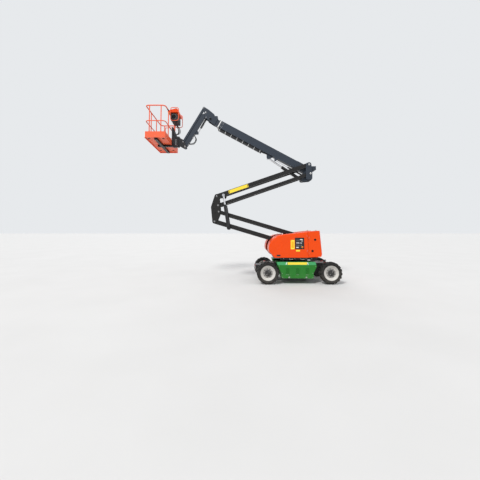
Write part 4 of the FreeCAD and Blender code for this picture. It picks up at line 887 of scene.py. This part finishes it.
def make_boom_trim():
    """Wear pad bolts, the white collar, weld seams, tray clips and the hoses that leave the tray."""
    place = along(BOOM_PIN, BOOM)
    white = Piece("boom_nose_band", "main_boom", "pale_vinyl", "boom_grey", place=place)
    half_w, half_d, thin = 0.098 + 0.007, 0.130 + 0.007, 0.0012
    x0, x1 = BOOM_LENGTH - 0.054, BOOM_LENGTH - 0.018
    for side in (1, -1):
        white.plate(side, (x0, half_w - 0.001, -half_d - thin), (x1, half_w + thin, half_d + thin))
    for z0, z1 in ((-half_d - thin, -half_d + 0.001), (half_d - 0.001, half_d + thin)):
        white.block((x0, -half_w - thin, z0), (x1, half_w + thin, z1))
    white.done()
    bolts = Piece("wear_pad_bolts", "main_boom", "zinc", "boom_grey", place=place)
    for x in (BOOM_LENGTH - 0.155, BOOM_LENGTH - 0.105):
        for side in (1, -1):
            for z in (-0.085, -0.045, 0.045, 0.085):
                bolts.nut((x, side * 0.098, z), (0, side, 0), 0.0075)
        for y in (-0.055, 0.055):
            bolts.nut((x, y, -0.130), (0, 0, -1), 0.0075)
    bolts.done()
    seams = Piece("boom_welds", "main_boom", "boom_paint", "boom_grey", place=place)
    for side in (1, -1):
        for z in (-0.126, 0.126):
            seams.tube([(0.50, side * 0.0968, z), (1.6, side * 0.0968, z), (BOOM_LENGTH - 0.10, side * 0.0968, z)],
                       0.0036, 8)
    seams.done()
    tray = Piece("tray_clips", "main_boom", "zinc", "boom_grey", place=place)
    for i in range(8):
        x = 1.80 + 0.232 * i
        tray.block((x, -0.0615, 0.1285), (x + 0.022, 0.0615, 0.2095))
        for side in (1, -1):
            tray.plate(side, (x, 0.060, 0.1295), (x + 0.022, 0.088, 0.1335))
            tray.nut((x + 0.011, side * 0.078, 0.1335), (0, 0, 1), 0.0045)
    tray.done(bevel=0.001)
    hoses = Piece("boom_hoses", "main_boom", "hose_rubber", "black_plastic", place=place)
    for k in range(4):
        y = -0.036 + 0.024 * k
        hoses.tube([(1.760, y, 0.158), (1.700, y, 0.158), (1.640, y, 0.150), (1.600, y, 0.139),
                    (1.540, y, 0.139)], 0.0095, 12)
    hoses.done()


def make_jib_trim():
    """Pin ends and hoses of the jib, and the flanges of the platform's rotator."""
    nose = Piece("nose_pin_caps", "nose_bracket", "pin_steel", "boom_grey")
    for at, r in ((JIB_PIN, 0.030), (JIB_LINK_PIN, 0.024), (pin("jib_ram_turn"), 0.020)):
        for side in (1, -1):
            pin_cap(nose, (at.x, side * 0.082, at.z), side, r, r > 0.021, 0.6)
    nose.done()
    fork = Piece("fork_pin_caps", "fly_boom", "boom_paint", "boom_grey")
    # The fork's pin bores are flat near-black discs: painted shade of the hole's inside.
    hole = Piece("nose_pin_bore", "fly_boom", "hole_dark", "boom_grey")
    for side in (1, -1):
        at = (NOSE_PIN.x, side * 0.098, NOSE_PIN.z)
        fork.lathe(at, (0, side, 0), [(0.041, 0.003), (0.041, 0.000), (0.056, 0.000), (0.056, 0.006), (0.052, 0.008), (0.041, 0.008)],
                   40, closed=True)
        hole.lathe((at[0], side * 0.098, at[2]), (0, side, 0), [(0.040, -0.001), (0.040, 0.0066)], 32)
    fork.done()
    hole.done()
    end = Piece("jib_end_pin_caps", "jib_end_bracket", "pin_steel", "frame_dark")
    link_end = JIB_LINK_PIN + (JIB_END - JIB_PIN)
    for at, r in ((JIB_END, 0.030), (link_end, 0.024)):
        for side in (1, -1):
            pin_cap(end, (at.x, side * 0.082, at.z), side, r, True, 2.2)
    end.done()
    turn = pin("platform_turn")
    low, high = ROTATOR_Z
    flange = Piece("rotator_flanges", "jib_end_bracket", "black_paint", "frame_dark")
    bolts = Piece("rotator_bolts", "jib_end_bracket", "zinc", "frame_dark")
    for z in (low + 0.001, high - 0.019):
        flange.lathe((turn.x, 0, z), (0, 0, 1), [(0.0735, 0), (0.086, 0.002), (0.086, 0.014), (0.0735, 0.016)], 48,
                     closed=True)
        for i in range(12):
            a = math.radians(30 * i + 15)
            bolts.bar((turn.x + 0.080 * math.cos(a), 0.080 * math.sin(a), z + 0.012),
                      (turn.x + 0.080 * math.cos(a), 0.080 * math.sin(a), z + 0.021), 0.004, 6)
    flange.done(bevel=0.001)
    bolts.done()
    length = (JIB_END - JIB_PIN).length
    place = along(JIB_PIN, JIB)
    seams = Piece("jib_welds", "jib_boom", "boom_paint", "boom_grey", place=place)
    for side in (1, -1):
        seams.tube([(0.10, side * 0.0440, 0.0475), (length / 2, side * 0.0440, 0.0475),
                    (length - 0.10, side * 0.0440, 0.0475)], 0.0028, 8)
    seams.done()
    hoses = Piece("jib_hoses", "jib_boom", "hose_rubber", "black_plastic", place=place)
    clips = Piece("jib_hose_clips", "jib_boom", "zinc", "black_plastic", place=place)
    for side in (1, -1):
        for k in range(2):
            y = side * (0.016 + 0.019 * k)
            out = 0.020 * k
            hoses.tube([(0.852, y, 0.046), (0.858, y, 0.059), (0.885, y, 0.060), (0.915, y, 0.072),
                        (0.950 - out, y, 0.130), (1.000 - out, y, 0.176 + out), (1.080, y, 0.196 + out),
                        (1.160 + out, y, 0.176 + out), (1.215 + out, y, 0.120), (1.238 + out, y, 0.075),
                        (1.240 + out, y, 0.046)], 0.0085, 12)
        for x in (0.886, 1.232):
            clips.plate(side, (x, 0.004, 0.0485), (x + 0.030, 0.047, 0.0525))
        clips.plate(side, (0.886, 0.004, 0.068), (0.906, 0.047, 0.071))
        clips.plate(side, (0.886, 0.043, 0.049), (0.906, 0.047, 0.071))
        clips.plate(side, (0.980, 0.028, 0.0445), (1.010, 0.044, 0.0620))
        clips.plate(side, (1.300, 0.028, 0.0445), (1.325, 0.044, 0.0620))
    hoses.done()
    clips.done()
    feed = Piece("rotator_hoses", "jib_end_bracket", "hose_rubber", "black_plastic")
    back_x = turn.x + 0.080
    for k in range(4):
        y = -0.054 + 0.036 * k
        reach = 0.020 * (k % 2)
        feed.tube([(back_x - 0.002, y, high - 0.050), (back_x + 0.030, y, high - 0.048),
                   (back_x + 0.075 + reach, y, high - 0.060), (back_x + 0.090 + reach, y, high - 0.130),
                   (back_x + 0.070 + reach, y, high - 0.190), (back_x + 0.025, y, high - 0.200),
                   (back_x - 0.002, y, high - 0.200)], 0.0085, 12)
    feed.done()


def ram_trim(name, barrel_body, joint, slide, y_list, barrel_r, barrel_length, foot_r, port_side=1):
    """Gland nut, hard pipe and port blocks of one ram, drawn along its axis."""
    foot = pin(joint)
    axis = Vector([j for j in frame["joints"] if j["name"] == slide][0]["axis"])
    place = along(foot, math.degrees(math.atan2(axis.z, axis.x)))
    steel = Piece(f"{name}_glands", barrel_body, "zinc", "ram_black", place=place)
    black = Piece(f"{name}_pipes", barrel_body, "ram_paint", "ram_black", place=place)
    for y in y_list:
        end = barrel_length - 0.004
        steel.lathe((end, y, 0), (1, 0, 0), [(barrel_r * 0.92, 0), (barrel_r * 0.92, 0.010), (barrel_r * 0.80, 0.013)], 32)
        top = port_side * (barrel_r + 0.006)
        pipe_r = max(0.004, barrel_r * 0.13)
        black.tube([(foot_r * 1.6 + 0.03, y, port_side * barrel_r * 0.9), (foot_r * 1.6 + 0.03, y, top + pipe_r),
                    (foot_r * 1.6 + 0.07, y, top + pipe_r), (barrel_length * 0.5, y, top + pipe_r),
                    (barrel_length - 0.09, y, top + pipe_r), (barrel_length - 0.055, y, top + pipe_r),
                    (barrel_length - 0.055, y, port_side * barrel_r * 0.9)], pipe_r, 10)
        z0, z1 = sorted((port_side * barrel_r * 0.85, port_side * (barrel_r + 0.016)))
        black.block((foot_r * 1.6 + 0.004, y - barrel_r * 0.3, z0), (foot_r * 1.6 + 0.05, y + barrel_r * 0.3, z1))
        for x in (0.34, 0.62):
            z0, z1 = sorted((port_side * barrel_r * 0.9, port_side * (barrel_r + 0.005 + pipe_r)))
            black.block((barrel_length * x, y - pipe_r * 1.8, z0), (barrel_length * x + 0.014, y + pipe_r * 1.8, z1))
    steel.done()
    black.done(smooth=40)


def make_ram_trim():
    ram_trim("riser_ram", "riser_ram_barrels", "riser_ram_turn", "riser_ram_extend", (0.290, -0.290), 0.054, 0.800,
             0.056, -1)
    ram_trim("lift_ram", "lift_ram_barrel", "lift_ram_turn", "lift_ram_extend", (0.0,), 0.050, 0.850, 0.052, 1)
    ram_trim("level_ram", "level_ram_barrel", "level_ram_turn", "level_ram_extend", (-0.079,), 0.024, 0.640, 0.025, -1)
    ram_trim("jib_ram", "jib_ram_barrel", "jib_ram_turn", "jib_ram_extend", (0.0,), 0.030, 0.420, 0.032, 1)


# Basket


def make_floor_tread():
    """The floor's plate with a raised lozenge pattern."""
    low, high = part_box("basket_floor")
    x0, x1, y0, y1 = low.x + 0.004, high.x - 0.004, low.y + 0.004, high.y - 0.004
    top = high.z + 0.0012
    tread = Piece("floor_tread", "platform", "floor_plate", "frame_dark")
    tread.block((x0, y0, high.z - 0.0005), (x1, y1, top))
    step = 0.032
    nx, ny = int((x1 - x0 - 0.02) / step), int((y1 - y0 - 0.02) / step)
    for i in range(nx):
        for j in range(ny):
            x, y = x0 + 0.01 + step * (i + 0.5), y0 + 0.01 + step * (j + 0.5)
            turn = math.radians(45 if (i + j) % 2 else -45)
            c, s = math.cos(turn), math.sin(turn)
            a, b, h = 0.0125, 0.0032, 0.0016
            ring = [(a, 0), (0, b), (-a, 0), (0, -b)]
            verts = [(x + u * c - v * s, y + u * s + v * c, top - 0.0002) for u, v in ring]
            verts += [(x + 0.7 * (u * c - v * s), y + 0.7 * (u * s + v * c), top + h) for u, v in ring]
            tread.add(verts, [(3, 2, 1, 0), (4, 5, 6, 7), (0, 1, 5, 4), (1, 2, 6, 5), (2, 3, 7, 6), (3, 0, 4, 7)])
    tread.done()


def make_basket_trim():
    """Bolts, post sleeves, grips, rings, the latch and the underside's fixings of the basket."""
    make_floor_tread()
    low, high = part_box("basket_floor")
    rails_low, rails_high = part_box("basket_rails")
    toe_low, toe_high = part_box("toe_boards")
    bolts = Piece("toe_board_bolts", "platform", "zinc", "basket_red")
    for side in (1, -1):
        for x in (toe_low.x + 0.10, (toe_low.x + toe_high.x) / 2, toe_high.x - 0.10):
            bolts.nut((x, side * toe_high.y, toe_high.z - 0.160), (0, side, 0), 0.0065)
    for y in (-0.78, -0.40, 0.0, 0.40, 0.78):
        bolts.nut((toe_low.x, y, toe_high.z - 0.160), (-1, 0, 0), 0.0065)
    for y in (-0.78, -0.40, 0.40, 0.78):
        bolts.nut((toe_high.x, y, toe_high.z - 0.160), (1, 0, 0), 0.0065)
    bolts.done()
    # The pale strips along the near end of each toe board are a painted highlight of its bright end edge.
    edges = Piece("toe_board_end_highlights_and_caps", "platform", "pale_vinyl", "basket_red")
    for side in (1, -1):
        edges.plate(side, (toe_low.x, toe_high.y - 0.001, toe_low.z + 0.002), (toe_low.x + 0.022, toe_high.y + 0.001, toe_high.z - 0.002))
        edges.lathe((toe_high.x - 0.060, side * (toe_high.y - 0.003), toe_high.z - 0.004), (0, 0, 1),
                    [(0.007, 0), (0.007, 0.012), (0.016, 0.018), (0.019, 0.028), (0.015, 0.038), (0.006, 0.043)], 20)
    edges.done()
    sleeves = Piece("rail_sleeves", "platform", "basket_paint", "basket_red")
    rail_r = 0.019
    xa, xb, yb = rails_low.x + rail_r, rails_high.x - rail_r, -rails_low.y - rail_r
    posts = [(xa, side * yb / 3) for side in (1, -1)] + [(xb, side * yb * 0.53) for side in (1, -1)]
    posts += [(x, side * yb) for x in (xa + 0.132, xb - 0.132) for side in (1, -1)]
    for x, y in posts:
        sleeves.lathe((x, y, toe_high.z - 0.002), (0, 0, 1),
                      [(0.0165, 0), (0.0205, 0), (0.0205, 0.030), (0.0165, 0.033)], 24, closed=True)
    sleeves.done(bevel=0.0008)
    top_z = rails_high.z - rail_r
    grips = Piece("rail_grips", "platform", "hose_rubber", "black_plastic")
    for y0, y1 in ((-0.62, -0.50), (0.50, 0.62)):
        grips.lathe((xb, y0, top_z), (0, 1, 0), [(0.0185, 0), (0.0215, 0.001), (0.0215, y1 - y0 - 0.001), (0.0185, y1 - y0)],
                    24, closed=True)
    grips.done()
    anchors = Piece("lanyard_rings", "platform", "yellow_vinyl", "basket_red")
    for y in (-0.42, 0.42):
        anchors.block((xb - 0.005, y - 0.030, top_z - 0.066), (xb + 0.005, y + 0.030, top_z - 0.014))
        anchors.lathe((xb, y, top_z - 0.082), (1, 0, 0),
                      [(0.018, -0.005), (0.024, -0.005), (0.024, 0.005), (0.018, 0.005)], 28, closed=True)
    anchors.done(bevel=0.002)
    latch = Piece("gate_latch", "gate", "zinc", "basket_red")
    gate_low, gate_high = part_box("basket_gate")
    far_x, gate_y, latch_z = gate_high.x - 0.014, (gate_low.y + gate_high.y) / 2, toe_high.z + 0.440
    latch.block((far_x - 0.020, gate_y - 0.024, latch_z), (far_x + 0.012, gate_y - 0.006, latch_z + 0.060))
    latch.lathe((far_x - 0.004, gate_y - 0.022, latch_z + 0.030), (0, -1, 0), [(0.010, 0), (0.010, 0.014), (0.008, 0.018)], 18)
    latch.done(bevel=0.001)
    under_z = high.z - 0.008
    # Drain holes under the floor, drawn as flat near-black discs: painted shade of their insides.
    marks = Piece("floor_drain_holes", "platform", "hole_dark", "basket_red")
    for x, y in DRAIN_HOLES:
        for side in (1, -1):
            marks.lathe((x, side * y, under_z), (0, 0, -1), [(0.045, -0.001), (0.045, 0.0006)], 28)
    marks.done()
    fixings = Piece("floor_beam_bolts", "platform", "zinc", "frame_dark")
    middle = (low.x + high.x) / 2
    for y in (-0.74, -0.38, 0.38, 0.74):
        for x in (middle - 0.028, middle + 0.028):
            fixings.nut((x, y, low.z), (0, 0, -1), 0.008)
    fixings.done()
    make_mount_trim()
    make_console()


def make_mount_trim():
    """Gussets, bolts and the looped hoses of the post that carries the basket."""
    low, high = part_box("basket_mount")
    face_x, arm_z = low.x + 0.046, ROTATOR_Z[1] + 0.040
    gussets = Piece("mount_gussets", "platform", "black_paint", "frame_dark")
    for side in (1, -1):
        y0, y1 = sorted((side * 0.044, side * 0.052))
        gussets.slab([(face_x - 0.002, arm_z - 0.002), (face_x + 0.130, arm_z - 0.002), (face_x + 0.122, arm_z + 0.030),
                      (face_x + 0.018, high.z - 0.040), (face_x - 0.002, high.z - 0.030)], y0, y1)
        gussets.slab([(face_x - 0.002, ROTATOR_Z[0] - 0.006), (pin("platform_turn").x - 0.096, ROTATOR_Z[0] - 0.006),
                      (pin("platform_turn").x - 0.096, ROTATOR_Z[1] + 0.006), (face_x - 0.002, ROTATOR_Z[1] + 0.006)], y0, y1)
    gussets.done(bevel=0.001)
    bolts = Piece("mount_bolts", "platform", "zinc", "frame_dark")
    for y in (-0.022, 0.022):
        for z in (arm_z + 0.090, arm_z + 0.170, arm_z + 0.250):
            bolts.nut((face_x, y, z), (1, 0, 0), 0.008)
    turn = pin("platform_turn")
    for z, up in ((arm_z, 1), (ROTATOR_Z[0] - 0.040, -1)):
        bolts.lathe((turn.x, 0, z), (0, 0, up), [(0.034, -0.001), (0.034, 0.008), (0.028, 0.010), (0.008, 0.010),
                                                 (0.007, 0.006)], 32)
        for i in range(6):
            a = math.radians(60 * i)
            bolts.nut((turn.x + 0.047 * math.cos(a), 0.047 * math.sin(a), z), (0, 0, up), 0.0055)
    bolts.done()
    hoses = Piece("mount_hoses", "platform", "hose_rubber", "black_plastic")
    case_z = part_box("console")[0].z
    for k in range(4):
        y = -0.033 + 0.022 * k
        reach = 0.030 * (k % 3)
        hoses.tube([(low.x + 0.130, y, case_z + 0.003), (low.x + 0.130, y, case_z - 0.060),
                    (low.x + 0.175 + reach, y, case_z - 0.160), (low.x + 0.235 + reach, y, case_z - 0.290),
                    (low.x + 0.225 + reach, y, case_z - 0.400), (low.x + 0.150, y, case_z - 0.450),
                    (face_x - 0.004, y, case_z - 0.430)], 0.0095, 12)
    hoses.done()


def make_console():
    """The console's orange hood and black case, its guard loops, joysticks, switches and stop button."""
    rail_x, rail_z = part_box("basket_rails")[1].x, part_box("basket_rails")[1].z
    hood = Piece("console_hood", "platform", "orange_cast", "hood_orange")
    outline = ((-0.090, 0.000), (0.270, 0.000), (0.270, 0.090), (0.215, 0.145), (-0.060, 0.075), (-0.090, 0.045))
    hood.slab([(rail_x + u, rail_z + w) for u, w in outline], -0.320, 0.320)
    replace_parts(hood.done(bevel=0.007, segments=3), "console")
    case = Piece("console_case", "platform", "black_plastic", "black_plastic")
    case.block((rail_x + 0.0003, -0.300, rail_z - 0.250), (rail_x + 0.225, 0.300, rail_z - 0.046))
    case.block((rail_x + 0.0003, -0.300, rail_z - 0.100), (rail_x + 0.030, 0.300, rail_z + 0.002))
    for y in (-0.18, 0.0, 0.18):
        case.block((rail_x + 0.222, y - 0.060, rail_z - 0.225), (rail_x + 0.228, y + 0.060, rail_z - 0.080))
    case.done(bevel=0.005, segments=3)
    ends = Piece("console_case_ends", "platform", "hole_dark", "black_plastic")
    rings = Piece("console_case_rings", "platform", "grey_plastic", "black_plastic")
    for side in (1, -1):
        at = (rail_x + 0.118, side * 0.300, rail_z - 0.148)
        ends.lathe(at, (0, side, 0), [(0.078, -0.001), (0.078, 0.003)], 40)
        rings.lathe(at, (0, side, 0), [(0.078, -0.001), (0.086, 0.004), (0.090, 0.004), (0.092, -0.001)], 40, closed=True)
    ends.done()
    rings.done()
    loops = Piece("console_guard_loops", "platform", "basket_paint", "basket_red")
    x0, x1, z0, z1 = rail_x + 0.0125, rail_x + 0.290, rail_z - 0.300, rail_z + 0.160
    bend = 0.070
    for side in (1, -1):
        y = side * 0.334
        corners = []
        for cx, cz, start in ((x1 - bend, z1 - bend, 0), (x0 + bend, z1 - bend, 90), (x0 + bend, z0 + bend, 180),
                              (x1 - bend, z0 + bend, 270)):
            corners += [(cx + bend * math.cos(math.radians(start + 22.5 * i)), y,
                         cz + bend * math.sin(math.radians(start + 22.5 * i))) for i in range(5)]
        first = (x1, y, (z0 + z1) / 2)
        loops.tube([first] + corners + [first], 0.0125, 16)
        for z in (rail_z - 0.019, rail_z + 0.040):
            loops.bar((x0 + 0.110, side * 0.318, z), (x0 + 0.110, side * 0.322, z), 0.004, 8)
    loops.done(smooth=60)
    slope = Matrix.Translation((rail_x - 0.060, 0, rail_z + 0.075)) @ Matrix.Rotation(-math.atan2(0.070, 0.275), 4, "Y")
    panel = Piece("console_panel", "platform", "panel_dark", "black_plastic", place=slope)
    panel.block((0.012, -0.285, -0.004), (0.150, 0.285, 0.004))
    panel.done(bevel=0.003)
    plates = Piece("console_blank_plates", "platform", "pale_vinyl", "black_plastic", place=slope)
    for y, w in ((-0.245, 0.090), (-0.040, 0.080), (0.150, 0.095)):
        plates.block((0.118, y, 0.003), (0.140, y + w, 0.0052))
    plates.done()
    bellows = Piece("console_bellows", "platform", "hose_rubber", "black_plastic", place=slope)
    sticks = Piece("console_joysticks", "platform", "grey_plastic", "black_plastic", place=slope)
    for y in (-0.150, 0.100):
        steps = [(0.030, 0.004)]
        for k in range(4):
            steps += [(0.030 - 0.0045 * k, 0.008 + 0.008 * k), (0.024 - 0.0045 * k, 0.012 + 0.008 * k)]
        bellows.lathe((0.066, y, 0.0), (0, 0, 1), steps, 28)
        sticks.lathe((0.066, y, 0.034), (0, 0, 1), [(0.0065, 0), (0.0075, 0.010), (0.012, 0.018), (0.0135, 0.034),
                                                  (0.012, 0.042), (0.006, 0.046)], 24)
    bellows.done(smooth=60)
    sticks.done(smooth=50)
    bezel = Piece("console_bezels", "platform", "zinc", "black_plastic", place=slope)
    toggles = Piece("console_toggles", "platform", "grey_plastic", "black_plastic", place=slope)
    for i, y in enumerate((-0.255, -0.225, -0.070, -0.040, -0.010, 0.020, 0.180)):
        for x in (0.045, 0.085):
            bezel.lathe((x, y, 0.004), (0, 0, 1), [(0.008, 0), (0.008, 0.003), (0.006, 0.005)], 16)
            toggles.bar((x, y, 0.007), (x + (0.005 if i % 2 else -0.005), y, 0.024), 0.0028, 10, 0.0008)
    bezel.done(smooth=40)
    toggles.done(smooth=40)
    stop = Piece("console_stop_button", "platform", "red_plastic", "black_plastic", place=slope)
    at = (0.066, 0.238, 0.004)
    stop.lathe(at, (0, 0, 1), [(0.012, 0), (0.012, 0.012), (0.020, 0.014), (0.021, 0.021), (0.016, 0.026), (0.006, 0.028)], 32)
    stop.done(smooth=40)
    collar = Piece("console_stop_collar", "platform", "yellow_vinyl", "black_plastic", place=slope)
    collar.lathe(at, (0, 0, 1), [(0.028, -0.001), (0.028, 0.002), (0.012, 0.002)], 32)
    collar.done()


# The stage


CAMERA_AT = (-1.886, -9.7, 1.70)
CAMERA_PITCH = math.radians(3.51)
PHOTO_SIZE = 480
FOCAL_PIXELS = 277
SENSOR = 36.0
PRINCIPAL_ROW = 213.5


def make_camera():
    data = bpy.data.cameras.new("camera")
    camera = bpy.data.objects.new("camera", data)
    bpy.context.scene.collection.objects.link(camera)
    camera.location = CAMERA_AT
    camera.rotation_euler = (math.radians(90) + CAMERA_PITCH, 0, 0)
    data.sensor_width = SENSOR
    data.lens = FOCAL_PIXELS * SENSOR / PHOTO_SIZE
    data.shift_y = (PRINCIPAL_ROW - PHOTO_SIZE / 2) / PHOTO_SIZE
    data.clip_end = 400
    bpy.context.scene.camera = camera


def make_stage():
    """A pale floor under a pale sky, a soft key lamp, a weak fill and a back lamp."""
    mesh = bpy.data.meshes.new("floor")
    reach = 150.0
    mesh.from_pydata([(-reach, -reach, 0), (reach, -reach, 0), (reach, reach, 0), (-reach, reach, 0)], [], [(0, 1, 2, 3)])
    floor = bpy.data.objects.new("floor", mesh)
    bpy.context.scene.collection.objects.link(floor)
    material = bpy.data.materials.new("floor")
    g = Graph(material)
    g.feed(g.shader, "Base Color", g.mix(g.noise(0.6, 4.0), (0.60, 0.59, 0.57, 1), (0.66, 0.65, 0.63, 1)))
    g.shader.inputs["Roughness"].default_value = 0.85
    mesh.materials.append(material)
    world = bpy.data.worlds.new("studio")
    bpy.context.scene.world = world
    world.use_nodes = True
    tree = world.node_tree
    background = tree.nodes["Background"]
    rays = tree.nodes.new("ShaderNodeLightPath")
    seen = tree.nodes.new("ShaderNodeMath")
    seen.operation = "MAXIMUM"
    tree.links.new(rays.outputs["Is Camera Ray"], seen.inputs[0])
    seen.inputs[1].default_value = 0.0
    also = tree.nodes.new("ShaderNodeMath")
    also.operation = "MAXIMUM"
    tree.links.new(seen.outputs[0], also.inputs[0])
    tree.links.new(rays.outputs["Is Transmission Ray"], also.inputs[1])
    colour = tree.nodes.new("ShaderNodeMix")
    colour.data_type = "RGBA"
    tree.links.new(also.outputs[0], colour.inputs[0])
    colour.inputs[6].default_value = (0.62, 0.64, 0.68, 1)
    colour.inputs[7].default_value = (0.80, 0.82, 0.84, 1)
    tree.links.new(colour.outputs[2], background.inputs["Color"])
    for name, energy, angle, aim in (("key", 2.3, 14, (0.42, 0.62, -0.80)), ("fill", 0.7, 60, (-0.7, 0.3, -0.35)),
                                     ("back", 0.6, 40, (0.2, -0.8, -0.5))):
        data = bpy.data.lights.new(name, "SUN")
        data.energy = energy
        data.angle = math.radians(angle)
        lamp = bpy.data.objects.new(name, data)
        lamp.rotation_euler = Vector(aim).to_track_quat("-Z", "Y").to_euler()
        bpy.context.scene.collection.objects.link(lamp)
    bpy.context.scene.view_settings.view_transform = "Standard"


make_camera()
make_stage()
dress_nodes()
make_wheels()
make_axle_trim()
make_cover_trim()
make_chassis_trim()
make_turret_trim()
make_hood_trim()
make_weight_trim()
make_ground_controls()
make_riser_trim()
make_boom_trim()
make_jib_trim()
make_ram_trim()
make_basket_trim()
